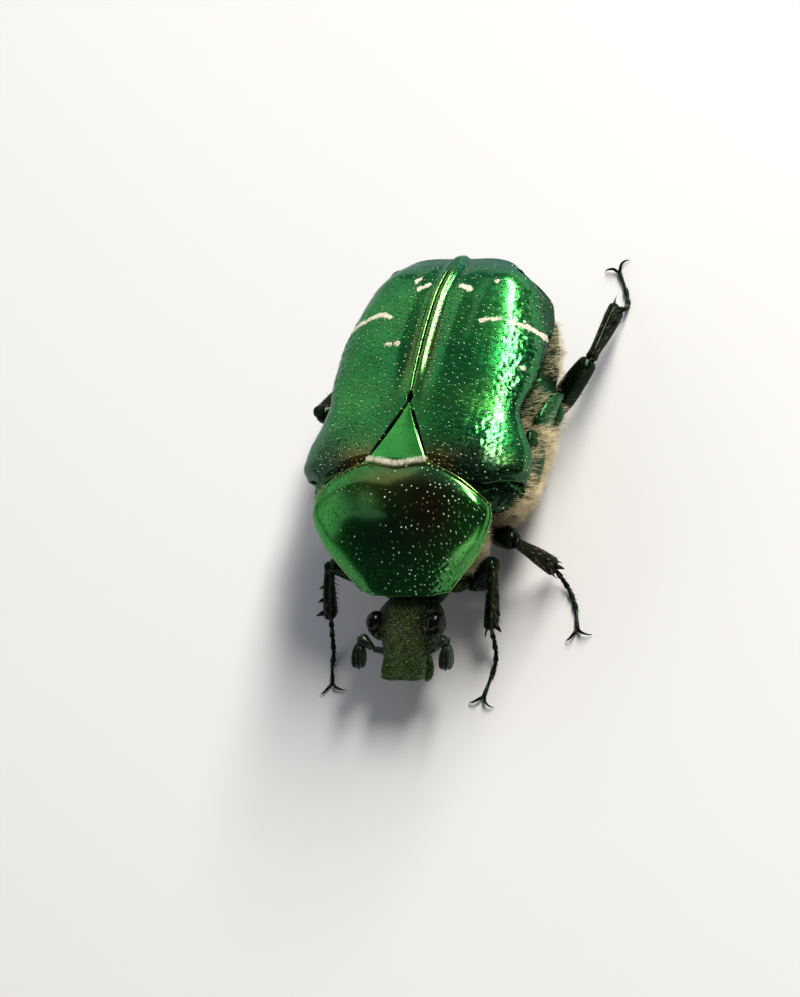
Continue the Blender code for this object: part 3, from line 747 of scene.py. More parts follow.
class SetaTree:
    """The geometry tree that sets tufts of hair over a skin."""

    def __init__(self) -> None:
        """Builds the tree once, for every coat."""
        self.tree = bpy.data.node_groups.new("setae", "GeometryNodeTree")
        self.sockets: dict[str, str] = {}
        wanted = [("Skin", "Geometry"), ("Tuft", "Object"), ("Per Area", "Float"), ("Length", "Float"),
                  ("Lean", "Float"), ("Spread", "Float"), ("Seed", "Int"), ("Finish", "Material")]
        for name, kind in wanted:
            socket = self.tree.interface.new_socket(name=name, in_out="INPUT", socket_type="NodeSocket" + kind)
            self.sockets[name] = socket.identifier
        self.tree.interface.new_socket(name="Coat", in_out="OUTPUT", socket_type="NodeSocketGeometry")
        self._wire(Web(self.tree))

    def _wire(self, web: Web) -> None:
        """Lays the nodes: points on the skin, a turned and scaled tuft on each, made real, with its map.

        Args:
            web: the tree under construction.
        """
        given = web.add("NodeGroupInput").outputs
        comb = web.carried("comb")
        density = web.math("MULTIPLY", web.carried("hairs", "FLOAT"), given["Per Area"])
        scatter = web.add("GeometryNodeDistributePointsOnFaces",
                          {"Mesh": given["Skin"], "Density": density, "Seed": given["Seed"]},
                          distribute_method="RANDOM")
        roots = web.add("GeometryNodeStoreNamedAttribute",
                        {"Geometry": scatter.outputs["Points"], "Name": "root_map", "Value": web.carried(ATLAS_MAP)},
                        data_type="FLOAT_VECTOR", domain="POINT").outputs[0]
        normal, spread = scatter.outputs["Normal"], given["Spread"]
        reach = web.math("MULTIPLY", spread, -1.0)
        low = web.add("ShaderNodeCombineXYZ", {0: reach, 1: reach, 2: reach}).outputs[0]
        high = web.add("ShaderNodeCombineXYZ", {0: spread, 1: spread, 2: spread}).outputs[0]
        stray = web.add("FunctionNodeRandomValue", {0: low, 1: high, "Seed": given["Seed"]},
                        data_type="FLOAT_VECTOR").outputs[0]
        upright = web.scale(normal, web.math("SUBTRACT", 1.0, given["Lean"]))
        heading = web.vector("ADD", web.vector("ADD", web.scale(comb, given["Lean"]), upright), stray)
        turned = web.add("FunctionNodeAlignRotationToVector", {"Vector": heading}, axis="Z").outputs[0]
        bend = web.vector("SUBTRACT", comb, web.scale(normal, 0.6))
        turned = web.add("FunctionNodeAlignRotationToVector", {"Rotation": turned, "Vector": bend}, axis="X",
                         pivot_axis="Z").outputs[0]
        vary = web.add("FunctionNodeRandomValue", {2: 0.55, 3: 1.1, "Seed": web.math("ADD", given["Seed"], 3.0)},
                       data_type="FLOAT").outputs[1]
        long = web.math("MULTIPLY", given["Length"], vary)
        size = web.add("ShaderNodeCombineXYZ", {0: long, 1: long, 2: long}).outputs[0]
        tuft = web.add("GeometryNodeObjectInfo", {0: given["Tuft"]}, transform_space="ORIGINAL").outputs["Geometry"]
        placed = web.add("GeometryNodeInstanceOnPoints", {"Points": roots, "Instance": tuft, "Rotation": turned,
                                                          "Scale": size}).outputs[0]
        real = web.add("GeometryNodeRealizeInstances", {0: placed}).outputs[0]
        place = web.vector("ADD", web.carried("root_map"), web.scale(web.carried("patch"), TUFT_PATCH))
        mapped = web.add("GeometryNodeStoreNamedAttribute", {"Geometry": real, "Name": COAT_MAP, "Value": place},
                         data_type="FLOAT2", domain="CORNER").outputs[0]
        dressed = web.add("GeometryNodeSetMaterial", {"Geometry": mapped, "Material": given["Finish"]}).outputs[0]
        web.add("NodeGroupOutput", {0: dressed})


@dataclass(frozen=True)
class Tuft:
    """A few strands that share a root. Lengths are shares of the tuft's own length."""

    strands: int = 3
    width: float = 0.028
    curl: float = 0.3
    splay: float = 0.12
    room: float = 0.05
    segments: int = 3
    seed: int = 4

    def build(self, name: str) -> bpy.types.Object:
        """Makes the tuft along +Z, curling towards +X, with its patch map and the place along a strand.

        Args:
            name: the tuft's name.

        Returns:
            The object, in no collection.
        """
        dice = np.random.default_rng(self.seed)
        points, faces, along = [], [], []
        for strand in range(self.strands):
            first = len(points)
            tall = dice.uniform(0.75, 1.0) if self.strands > 1 else 1.0
            aim = dice.uniform(-self.splay, self.splay, 2) if self.strands > 1 else np.zeros(2)
            root = dice.uniform(-self.room, self.room, 2) if self.strands > 1 else np.zeros(2)
            for ring in range(self.segments):
                t = ring / self.segments
                middle = np.array([root[0] + aim[0] * t + self.curl * t * t, root[1] + aim[1] * t, tall * t])
                middle[2] -= 0.3 * self.curl * t * t
                radius = self.width * (1 - 0.75 * t)
                for corner in range(3):
                    angle = 2 * math.pi * corner / 3 + strand
                    points.append(middle + radius * np.array([math.cos(angle), math.sin(angle), 0.0]))
                    along.append(t)
            points.append(np.array([root[0] + aim[0] + self.curl, root[1] + aim[1], tall - 0.3 * self.curl]))
            along.append(1.0)
            for ring in range(self.segments - 1):
                for corner in range(3):
                    a, b = first + ring * 3 + corner, first + ring * 3 + (corner + 1) % 3
                    faces.append((a, b, b + 3, a + 3))
            last = first + (self.segments - 1) * 3
            for corner in range(3):
                faces.append((last + corner, last + (corner + 1) % 3, last + 3))
            faces.append((first + 2, first + 1, first))
        mesh = bpy.data.meshes.new(name)
        mesh.from_pydata([tuple(p) for p in points], [], faces)
        layer = mesh.uv_layers.new(name="patch")
        for face in mesh.polygons:
            for loop in face.loop_indices:
                vertex = mesh.loops[loop].vertex_index
                layer.uv[loop].vector = (0.5 + 0.5 * math.cos(vertex), along[vertex])
        strand_value = mesh.attributes.new("strand", "FLOAT", "POINT")
        strand_value.data.foreach_set("value", np.array(along, np.float32))
        mesh.shade_smooth()
        return bpy.data.objects.new(name, mesh)


@dataclass(frozen=True)
class Coat:
    """A coat of hairs over one or more skins: how many, how long and how they lie."""

    name: str
    slot: str
    per_mm2: float
    length: float
    lean: float
    spread: float
    seed: int

    def grow(self, tree: SetaTree, skin: Form, tuft: bpy.types.Object, finish: bpy.types.Material) -> bpy.types.Object:
        """Grows the coat, turns it into a plain mesh and sets it on the root body.

        Args:
            tree: the shared geometry tree.
            skin: the form whose points carry the values hairs and comb.
            tuft: the tuft that is repeated.
            finish: the hairs' material.

        Returns:
            The coat's object.
        """
        base = skin.build(self.name + "_skin")
        layer = base.modifiers.new("setae", "NODES")
        layer.node_group = tree.tree
        inputs = {"Tuft": tuft, "Per Area": self.per_mm2 / MM ** 2, "Length": self.length * MM, "Lean": self.lean,
                  "Spread": self.spread, "Seed": self.seed, "Finish": finish}
        for name, value in inputs.items():
            layer[tree.sockets[name]] = value
        bpy.context.view_layer.update()
        graph = bpy.context.evaluated_depsgraph_get()
        mesh = bpy.data.meshes.new_from_object(base.evaluated_get(graph))
        bpy.data.objects.remove(base)
        mesh.name = self.name
        for spare in ("root_map", "hairs", "comb", "pits"):
            if spare in mesh.attributes:
                mesh.attributes.remove(mesh.attributes[spare])
        for spare in [layer.name for layer in mesh.uv_layers if layer.name != COAT_MAP]:
            mesh.uv_layers.remove(mesh.uv_layers[spare])
        mesh.shade_smooth()
        made = bpy.data.objects.new(self.name, mesh)
        bpy.context.scene.collection.objects.link(made)
        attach(made, "root")
        LOG.info("coat %s: %d faces", self.name, len(mesh.polygons))
        return made


def place_piece(made: bpy.types.Object, finish: bpy.types.Material, slot: str, *nodes: str) -> bpy.types.Object:
    """Dresses a piece, sets it on the root body and lets it stand for solids.

    Args:
        made: the piece.
        finish: its material.
        slot: the record's material slot; not used.
        nodes: the solids it stands for.

    Returns:
        The piece.
    """
    made.data.materials.clear()
    made.data.materials.append(finish)
    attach(made, "root")
    if nodes:
        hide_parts(*nodes)
    LOG.info("piece %s: %d faces", made.name, len(made.data.polygons))
    return made


@dataclass
class WingCases:
    """The two wing cases: two vaulted plates that meet along the suture."""

    front: float = 0.3
    tip: float = 11.1
    side_front: float = -0.1
    side_rear: float = 10.45
    squareness: float = 3.24
    tip_bulge: float = 0.27
    tip_step: float = 0.18
    front_dip: float = 0.2
    tuck: float = 0.2
    wall: float = 0.2
    seam: float = 0.035
    beside_scutellum: float = 0.1
    scutellum_half: float = 1.43
    scutellum_span: tuple[float, float] = (0.27, 2.97)
    rows: int = 210
    columns: int = 120
    half_width: Curve = Curve((-0.1, 4.72), (0.5, 4.98), (1.4, 4.92), (2.4, 4.52), (3.4, 4.2), (4.8, 4.38),
                              (6.2, 4.59), (7.7, 4.74), (8.9, 4.54), (9.8, 3.9), (10.45, 3.12))
    suture_height: Curve = Curve((0.35, 2.8), (3.0, 2.78), (5.5, 2.72), (8.1, 2.42), (9.5, 1.95), (10.4, 1.42),
                                 (11.1, 0.81))
    edge_height: Curve = Curve((-0.1, 0.08), (1.4, 0.12), (3.4, 0.75), (5.5, 0.2), (7.8, 0.06), (9.2, 0.05),
                               (10.45, 0.73))
    bulge: Curve = Curve((0.0, 0.84), (0.12, 0.75), (0.28, 0.63), (0.42, 0.74), (0.58, 0.54), (0.8, -0.25),
                         (1.0, 0.0))
    front_edge: Curve = Curve((0.0, 0.1), (0.4, 0.05), (0.66, -0.3), (0.76, -0.37), (0.88, 0.05), (1.0, 0.4))
    green: Colour = (0.014, 0.23, 0.038)
    leaf_green: Colour = (0.07, 0.35, 0.045)
    sheen_blue_green: Colour = (0.02, 0.13, 0.11)
    painted_shade_green: Colour = (0.008, 0.05, 0.018)
    copper: Colour = (0.2, 0.09, 0.02)
    ridge_highlight_gold: Colour = (0.4, 0.45, 0.08)
    marks: dict[Side, tuple[tuple[float, tuple[tuple[float, float], ...]], ...]] = field(default_factory=dict)

    def surface(self, along: Array, across: Array) -> Array:
        """Points on the left wing case.

        Args:
            along: 0 at the front to 1 at the tip.
            across: 0 at the midline to 1 at the side edge.

        Returns:
            The points, in the shape of along and across.
        """
        suture_y = self.front + (self.tip - self.front) * along
        side_y = self.side_front + (self.side_rear - self.side_front) * along
        part = across ** self.squareness
        crown = np.sqrt(np.clip(1.0 - part, 0.0, 1.0))
        x = self.half_width.at(side_y) * across + self.bulge.at(along) * 4 * crown * (1 - crown) * part
        tip = self.tip_bulge * 6.75 * across ** 2 * (1 - across) - self.tip_step * fade(across, 0.02, 0.14)
        y = suture_y + (side_y - suture_y) * across ** 1.5 + tip * along ** 8
        y = y + (self.front_edge.at(across) - self.tuck) * fade(-along, -0.1, 0.0)
        corner = (along * across) ** 14
        x, y = x - 0.14 * corner, y - 0.16 * corner
        edge = self.edge_height.at(side_y)
        z = edge + (self.suture_height.at(suture_y) - edge) * crown
        z = z + 0.14 * hill(x, 3.75, 0.7) * hill(y, 0.9, 0.8) + 0.14 * hill(x, 2.7, 0.7) * hill(y, 9.7, 0.6)
        z = z - self.front_dip * fade(-along, -0.03, 0.0)
        return np.stack([x, y, z], axis=-1)

    def relief(self, grid: Array) -> Array:
        """Heights of the fine forms above the plain vault: ridges, furrows, wrinkles and the side rim.

        Args:
            grid: points by row and column on the left case.

        Returns:
            A height for each point, in mm.
        """
        x, y = grid[..., 0], grid[..., 1]
        from_suture = arc_length(grid, 1)
        from_side = from_suture[:, -1:] - from_suture
        # The ridge along the suture, the furrow beside it and the faint ribs of the disc
        rear = fade(y, 2.9, 5.2)
        mid = fade(y, 4.5, 6.5) * fade(-y, -10.2, -8.8)
        height = 0.085 * hill(from_suture, 0.13, 0.16) * rear
        height -= 0.07 * hill(from_suture, 0.5, 0.3) * rear * fade(-y, -10.9, -9.8)
        height += 0.035 * hill(from_suture, 1.15, 0.3) * mid
        height -= 0.015 * hill(from_suture, 1.75, 0.25) * mid
        height += 0.02 * hill(from_suture, 2.3, 0.3) * mid
        height += 0.01 * swell(grid, 2.4, 11)
        # Cross wrinkles on the flank
        side = fade(from_suture, 3.2, 4.4) * fade(from_side, 0.2, 0.7) * fade(y, 2.6, 4.2) * fade(-y, -10.0, -8.5)
        phase = 2 * math.pi * (y / 0.36 + 0.3 * swell(grid, 1.4, 5) + 0.12 * x)
        height += 0.016 * np.sin(phase) * side * fade(swell(grid, 0.8, 21), -0.6, 0.5)
        height += 0.01 * swell(grid, 0.33, 31) * side
        # The uneven shoulder, and the bead and gutter along the side edge
        shoulder = hill(x, 3.2, 1.3) * hill(y, 1.3, 1.3)
        height += (0.014 * swell(grid, 0.4, 9) + 0.009 * swell(grid, 0.24, 41)) * shoulder
        height += 0.07 * hill(from_side, 0.05, 0.055) - 0.05 * hill(from_side, 0.19, 0.09)
        return height * np.linspace(0, 1, len(grid))[::-1, None].clip(0, 0.02) / 0.02

    def tint(self, grid: Array) -> Array:
        """The colour of the case at each point, with painted highlight, painted sheen and painted shade laid into it.

        Args:
            grid: points by row and column.

        Returns:
            One colour for each point.
        """
        x, y = grid[..., 0], grid[..., 1]
        from_suture = arc_length(grid, 1)
        from_side = from_suture[:, -1:] - from_suture
        front_zone = hill(y, 0.12, 0.8) * (0.4 + 0.6 * hill(from_suture, 0.8, 1.8))
        return layered(
            grid.shape, self.green,
            (self.leaf_green, 0.2 + 0.14 * swell(grid, 3.5, 3)),
            # Painted highlight: a gold line along the sutural ridge.
            (self.ridge_highlight_gold, 0.3 * hill(from_suture, 0.1, 0.12) * fade(y, 3.0, 5.0)),
            (self.copper, 0.85 * front_zone),
            (self.copper, 0.45 * hill(from_suture, 0.45, 0.18) * hill(y, 5.6, 1.9)),
            # Painted sheen: blue green towards the tip and the side edge.
            (self.sheen_blue_green, 0.75 * fade(y, 9.4, 10.6) + 0.35 * fade(from_side, 2.2, 0.4)),
            # Painted shade and dark reflection: near black along the side edge, at the front edge and on the shoulder.
            (self.painted_shade_green, 0.9 * fade(from_side, 1.4, 0.1)),
            (self.painted_shade_green, 0.85 * fade(-y, -0.75, -0.1) * fade(x, 2.0, 3.0)),
            (self.painted_shade_green, 0.8 * hill(x, 3.9, 1.2) * hill(y, 0.4, 1.3)))

    def mark_distance(self, grid: Array, side: Side) -> Array:
        """How far outside the nearest cream mark each point is, in mm, below 0 inside it.

        Args:
            grid: points by row and column.
            side: whose marks are meant.

        Returns:
            One distance for each point.
        """
        nearest = np.full(grid.shape[:2], 9.0)
        for half, line in self.marks[side]:
            places = [np.linalg.norm(grid[..., :2] - np.array(point), axis=-1).argmin() for point in line]
            points = grid.reshape(-1, 3)[places]
            for start, end in zip(points, points[1:]):
                run = end - start
                share = np.clip(((grid - start) @ run) / (run @ run), 0, 1)
                gap = np.linalg.norm(grid - start - share[..., None] * run, axis=-1) - half
                nearest = np.minimum(nearest, gap)
        return nearest

    def build(self, side: Side, finish: bpy.types.Material) -> bpy.types.Object:
        """Makes one wing case and sets it in place of its solid.

        Args:
            side: which one.
            finish: its material.

        Returns:
            The piece.
        """
        along = np.linspace(0, 1, self.rows)
        along = along + 0.05 * np.sin(2 * math.pi * along) / (2 * math.pi)
        middle = self.surface(along, along * 0)
        base, tip = self.scutellum_span
        edge = self.scutellum_half * (tip - middle[:, 1]) / (tip - base) + self.beside_scutellum
        edge = np.maximum(edge, self.seam + 0.12 * hill(middle[:, 1], tip + 0.2, 0.25))
        start = edge / self.half_width.at(middle[:, 1])
        t = np.linspace(0, 1, self.columns)
        spread = 1 - (1 - t) ** 1.6
        spread = spread * 0.85 + 0.15 * t ** 2
        across = start[:, None] + (1 - start[:, None]) * spread[None, :]
        grid = self.surface(np.repeat(along[:, None], self.columns, axis=1), across)
        # Painted shade: on the left case's shoulder the value unlit leaves out some of the painted glints.
        shoulder_shade = 0.5 * hill(grid[..., 0], 3.6, 1.3) * hill(grid[..., 1], 1.2, 1.9) if side is Side.LEFT else 0.0
        values = {"pits": self._pit_share(grid), "mark": self.mark_distance(grid, side),
                  "unlit": shoulder_shade + 0 * grid[..., 0]}
        raised = grid + upward_normals(grid) * self.relief(grid)[..., None]
        form = Form().shell(raised * (side.value, 1, 1), self.wall, values)
        form.spread("tint", self.tint(grid), self.leaf_green)
        made = form.build("wing_case_" + side.word)
        return place_piece(made, finish, "elytra", "elytron_" + side.word)

    def _pit_share(self, grid: Array) -> Array:
        """The share of punctures that stand at each point.

        Args:
            grid: points by row and column.

        Returns:
            Shares, of which 1 and more means all of them.
        """
        x, y = grid[..., 0], grid[..., 1]
        from_suture = arc_length(grid, 1)
        share = 0.75 + 0.6 * hill(x, 3.2, 1.6) * hill(y, 1.2, 1.8)
        share += 0.3 * fade(y, 4.5, 6.5) * hill(from_suture, 0.6, 0.6)
        share += 0.2 * fade(from_suture, 3.0, 4.2)
        return share * fade(-y, -10.9, -10.0)


@dataclass
class Shield:
    """The pronotum: one vaulted plate behind the head."""

    wall: float = 0.3
    rows: int = 150
    columns: int = 190
    rear: Curve = Curve((0.0, -0.11), (0.34, 0.1), (0.66, -0.35), (1.0, -1.26))
    fore: Curve = Curve((0.0, -4.99), (0.6, -4.93), (1.0, -4.62))
    half_width: Curve = Curve((0.0, 4.22), (0.15, 4.32), (0.5, 3.8), (0.8, 2.85), (1.0, 2.12))
    ridge_height: Curve = Curve((0.0, 2.72), (0.15, 2.84), (0.4, 2.5), (0.7, 1.45), (1.0, -0.1))
    edge_height: Curve = Curve((0.0, 1.46), (0.3, 1.02), (0.6, 0.35), (1.0, -0.46))
    green: Colour = (0.02, 0.2, 0.035)
    leaf_green: Colour = (0.05, 0.36, 0.05)
    # The olive, night and bronze patches are painted reflections of the surroundings on the pronotum.
    olive: Colour = (0.2, 0.2, 0.03)
    bronze: Colour = (0.07, 0.022, 0.008)
    painted_dark_reflection: Colour = (0.008, 0.07, 0.015)
    rim: Colour = (0.3, 0.4, 0.08)

    def surface(self, along: Array, across: Array) -> Array:
        """Points on the plate.

        Args:
            along: places from rear (0) to front (1).
            across: places from its right edge (-1) to its left (1).

        Returns:
            One point for each place.
        """
        part = np.abs(across)
        rear, fore = self.rear.at(part), self.fore.at(part)
        edge = self.edge_height.at(along)
        crown = np.clip(1.0 - part ** 2.3, 0.0, 1.0) ** 0.55
        z = edge + (self.ridge_height.at(along) - edge) * crown
        return np.stack([self.half_width.at(along) * across, rear + (fore - rear) * along, z], axis=-1)

    def build(self, finish: bpy.types.Material) -> bpy.types.Object:
        """Makes the plate and sets it in place of its solid.

        Args:
            finish: its material.

        Returns:
            The piece.
        """
        along = np.linspace(0, 1, self.rows)[:, None] + np.zeros((1, self.columns))
        turn = np.sin(math.pi / 2 * np.linspace(-1, 1, self.columns))
        across = (turn * 0.8 + 0.2 * np.linspace(-1, 1, self.columns))[None, :] + along * 0
        grid = self.surface(along, across)
        reach, from_rear = arc_length(grid, 1), arc_length(grid, 0)
        from_side = np.minimum(reach, reach[:, -1:] - reach)
        x, y = grid[..., 0], grid[..., 1]
        height = self._relief(grid, from_side, from_rear)
        rim_share = 0.6 * hill(from_rear, 0.06, 0.09) + 0.3 * hill(from_side, 0.06, 0.08)
        colour = layered(
            grid.shape, self.green,
            (self.leaf_green, 0.7 * fade(np.abs(x), 1.4, 3.4)),
            # Painted reflections: an olive patch at the rear middle, a near-black patch and a bronze patch on the left.
            (self.olive, 0.8 * hill(y, -0.9, 0.8) * hill(x, 0.0, 1.6)),
            (self.painted_dark_reflection, 0.85 * hill(y, -2.9, 1.5) * hill(x, -0.6, 2.0)),
            (self.bronze, 0.9 * hill(y, -1.9, 1.4) * hill(x, 1.9, 1.4)),
            (self.rim, rim_share))
        # The value unlit leaves out painted glints towards the beetle's right: painted shade.
        values = {"pits": 0.3 + 0.45 * fade(np.abs(x), 0.6, 2.6) + 0.5 * fade(-y, 3.2, 4.4),
                  "unlit": 0.65 * fade(-x, -0.4, 1.2)}
        raised = grid + upward_normals(grid) * height[..., None]
        form = Form().shell(raised, self.wall, values, from_middle=True)
        form.spread("tint", colour, self.rim)
        return place_piece(form.build("pronotum_shield"), finish, "pronotum", "pronotum")

    def _relief(self, grid: Array, from_side: Array, from_rear: Array) -> Array:
        """Heights of the beads along the edges and of the scaly front corner, in mm.

        Args:
            grid: points by row and column.
            from_side: distances from the nearer side edge.
            from_rear: distances from the rear edge.

        Returns:
            One height for each point.
        """
        from_fore = from_rear[-1:] - from_rear
        height = 0.03 * hill(from_side, 0.06, 0.06) - 0.015 * hill(from_side, 0.2, 0.09)
        height += 0.04 * hill(from_rear, 0.06, 0.06) - 0.02 * hill(from_rear, 0.18, 0.07)
        height += 0.02 * hill(from_fore, 0.05, 0.05) - 0.01 * hill(from_fore, 0.16, 0.07)
        height += 0.01 * swell(grid, 0.16, 44) * fade(-grid[..., 1], 3.4, 4.2) * fade(grid[..., 0], 0.8, 2.2)
        return height + 0.006 * swell(grid, 2.0, 17)


@dataclass
class Scutellum:
    """The smooth triangle let in between the wing cases, with the pale fringe before it."""

    half_base: float = 1.56
    base: float = 0.0
    tip: float = 2.92
    height: float = 2.84
    wall: float = 0.35
    rows: int = 70
    columns: int = 60
    green: Colour = (0.05, 0.42, 0.05)
    edge: Colour = (0.3, 0.36, 0.12)

    def build(self, finish: bpy.types.Material) -> bpy.types.Object:
        """Makes the plate and sets it in place of its solid.

        Args:
            finish: its material.

        Returns:
            The piece.
        """
        part = np.linspace(0, 1, self.rows)[:, None]
        across = np.sin(math.pi / 2 * np.linspace(-1, 1, self.columns))[None, :]
        half = np.maximum(self.half_base * (1 - part) - 0.06 * np.sin(math.pi * part), 0.07)
        y = self.base + (self.tip - self.base) * part + across * 0
        lift = self.height - 0.03 * (y - self.base) - 0.05 * fade(np.abs(across), 0.9, 1.02) - 0.02 * across ** 2
        lift = lift - 0.12 * fade(-y, -0.25, 0.05)
        grid = np.stack([half * across, y, lift + 0 * half], axis=-1)
        form = Form().shell(grid, self.wall, {"pits": grid[..., 0] * 0 + 0.06}, from_middle=True)
        edge_share = 0.5 * fade(np.abs(across), 0.9, 1.0) + 0 * half
        form.spread("tint", layered(grid.shape, self.green, (self.edge, edge_share)), self.edge)
        return place_piece(form.build("scutellum_plate"), finish, "scutellum", "scutellum")

    def fringe_skin(self, shield: Shield) -> Form:
        """A narrow strip along the pronotum's rear edge, where the pale fringe has its roots.

        Args:
            shield: the pronotum.

        Returns:
            The strip, which is never shown.
        """
        across = np.linspace(-0.345, 0.345, 80)[None, :] + np.zeros((4, 1))
        grid = shield.surface(across * 0, across)
        grid[..., 1] += np.linspace(-0.06, 0.1, 4)[:, None]
        grid[..., 2] = self.height - 0.05
        form = Form().shell(grid, 0.05, {"hairs": grid[..., 0] * 0 + 1.0})
        return form.comb(lambda p: np.array([0.0, 0.9, 0.25]) + p * 0)


@dataclass
class Trunk:
    """The trunk under the plates: prothorax, the rings that carry the wing cases, and the abdomen."""

    cases: WingCases
    shield: Shield
    flank: Curve = Curve((-0.9, 2.0), (-0.3, 2.3), (0.4, 3.0), (1.3, 4.1), (2.5, 4.7), (4.2, 4.8), (5.6, 4.55),
                         (7.5, 4.35), (9.2, 3.8), (10.0, 3.0))
    belly: Curve = Curve((-0.9, -2.7), (-0.3, -3.1), (0.5, -3.5), (2.0, -3.65), (4.4, -3.6), (6.0, -3.3),
                         (8.0, -2.95), (9.4, -2.4), (10.0, -1.9))
    segments: int = 5
    bronze: Colour = (0.018, 0.026, 0.01)
    green: Colour = (0.008, 0.045, 0.015)
    leaf: Colour = (0.014, 0.12, 0.03)
    brown: Colour = (0.022, 0.014, 0.008)

    def ring(self, y: float, hollow: float, count: int = 26) -> Array:
        """A cross section of the trunk: a crown inside the wing cases, a shelf below them and a belly.

        Args:
            y: where along the body.
            hollow: how much the crown is drawn in.
            count: points for each quarter of the belly.

        Returns:
            The ring's points.
        """
        case_y = min(max(y, self.cases.side_front), self.cases.side_rear)
        edge = float(self.cases.edge_height.at(case_y)) - 0.2
        inner = float(self.cases.half_width.at(case_y)) - 0.75 - hollow
        crown = float(self.cases.suture_height.at(y + 0.4)) - 0.7 - hollow
        flank, belly = float(self.flank.at(y)), float(self.belly.at(y))
        inner = min(inner, flank - 0.12)
        angle = math.pi / 2 * np.linspace(0, 1, 14)
        top = np.stack([inner * np.sin(angle) ** 0.85, edge + (crown - edge) * np.cos(angle) ** 0.85], axis=1)
        angle = math.pi / 2 * np.linspace(0, 1, count)[:-1]
        waist = -1.25
        under = np.stack([flank * np.cos(angle) ** 0.9, waist + (belly - waist) * np.sin(angle) ** 0.9], axis=1)
        shoulder = np.array([[flank - 0.1, min(edge - 0.05, -0.3)], [flank, (min(edge, -0.3) + waist) / 2]])
        right = np.concatenate([top, shoulder, under])
        whole = np.concatenate([right, [[0.0, belly]], right[:0:-1] * (-1, 1)])
        return np.stack([whole[:, 0], np.full(len(whole), y), whole[:, 1]], axis=1)

    def _hair_values(self, form: Form, amount: Any) -> Form:
        """Paints colour, punctures, and where hairs stand."""
        form.paint("tint", self._tint)
        form.paint("pits", lambda p: 0.7 + 0 * p[:, 0])
        form.paint("hairs", amount)
        return form.comb(lambda p: np.stack([np.sign(p[:, 0]) * 0.9, 0.25 + 0 * p[:, 0], -0.35 + 0 * p[:, 0]], axis=1))

    def _tint(self, points: Array) -> Array:
        """Green bronze, greener on the flanks and browner on the belly.

        Args:
            points: points on the trunk.

        Returns:
            One colour for each point.
        """
        x, y, z = np.abs(points[:, 0]), points[:, 1], points[:, 2]
        corner = fade(x, 4.3, 4.95) * fade(y, 2.6, 4.4) * fade(-y, -6.0, -5.4)
        return layered(points.shape, self.bronze, (self.green, 0.6 * fade(x, 2.5, 4.5)),
                       (self.leaf, 0.7 * corner), (self.brown, 0.4 * fade(-z, 2.6, 3.5)))

    def thorax(self) -> Form:
        """The middle rings, their side plates, the four hips and the knob between the middle ones.

        Returns:
            Its form.
        """
        form = Form()
        grid = np.array([self.ring(y, 0.75 * float(fade(-y, 0.0, 0.5))) for y in np.linspace(-0.55, 4.85, 84)])
        x, y, z = np.abs(grid[..., 0]), grid[..., 1], grid[..., 2]
        under = fade(-z, 0.3, 0.8)
        groove = 0.07 * hill(z, -1.5 - 0.14 * y, 0.1) * fade(x, 2.4, 3.0) * fade(y, 0.3, 0.5)
        groove += 0.08 * hill(y, 0.42 + 0.25 * z, 0.09) * under * fade(x, 1.2, 2.0)
        grid[..., 0] -= np.sign(grid[..., 0]) * groove
        grid[..., 2] += 0.07 * hill(x, 0.0, 0.12) * fade(-z, 2.6, 3.2)
        form.loft(grid)
        form.ball((0.0, -0.62, -3.12), (0.44, 0.6, 0.44), 28, 16)
        for side in Side:
            s = side.value
            form.ball((s * 1.25, -0.1, -2.95), (0.85, 0.58, 0.62), 26, 14)
            path = [(s * 0.9, 4.35, -3.25), (s * 2.6, 4.35, -3.2), (s * 3.9, 4.6, -2.6), (s * 4.75, 5.2, -1.85)]
            sizes = [(0.0, 0.35, 0.4), (0.5, 0.5, 0.45), (0.85, 0.5, 0.5), (1.0, 0.12, 0.14)]
            form.tube(path, sizes, (0, 0.3, 1), 30, 22, 2.6, (0.1, 0.06))
            path = [(s * 4.35, 2.75, -0.85), (s * 4.72, 3.5, -0.62), (s * 4.86, 4.5, -0.95), (s * 4.95, 5.5, -1.72)]
            sizes = [(0.0, 0.14, 0.3), (0.3, 0.3, 0.68), (0.6, 0.3, 0.6), (0.82, 0.17, 0.32), (0.94, 0.09, 0.14),
                     (1.0, 0.03, 0.04)]
            form.tube(path, sizes, (0.25 * s, 0, 1), 40, 20, 2.4, (0.1, 0.02))
            path = [(s * 3.2, -0.95, -0.9), (s * 4.35, 0.3, -0.75), (s * 4.8, 2.0, -0.7), (s * 4.78, 3.6, -0.7)]
            sizes = [(0.0, 0.5, 0.7), (0.35, 0.4, 0.62), (0.8, 0.25, 0.5), (1.0, 0.12, 0.3)]
            form.tube(path, sizes, (0, 0, 1), 30, 18, 2.6, (0.1, 0.1))
            path = [(s * 4.5, 1.85, -0.5), (s * 4.78, 2.4, -0.12), (s * 4.72, 2.95, 0.05)]
            sizes = [(0.0, 0.14, 0.34), (0.5, 0.24, 0.56), (0.85, 0.2, 0.4), (1.0, 0.1, 0.2)]
            form.tube(path, sizes, (0, 0, 1), 26, 16, 2.4, (0.15, 0.15))
        return self._hair_values(form, self.flank_hairs)

    def flank_hairs(self, points: Array) -> Array:
        """Dense hair along the flank under the wing cases, sparse below and on the hip plates.

        Args:
            points: points on the trunk.

        Returns:
            How thick the hair stands at each point.
        """
        x, y, z = np.abs(points[:, 0]), points[:, 1], points[:, 2]
        flank = fade(x, 2.3, 3.6) * fade(-z, -0.3, 0.3) * fade(z, -3.3, -2.2)
        plates = fade(y, 3.0, 3.6) * fade(x, 4.0, 4.4) * fade(-z, 0.2, 0.5) + fade(x, 4.78, 4.86)
        return flank * (1 - np.clip(plates, 0, 1)) * (0.6 + 0.4 * fade(-y, -3.2, -1.0)) + 0.1 * fade(-z, 2.0, 3.0)

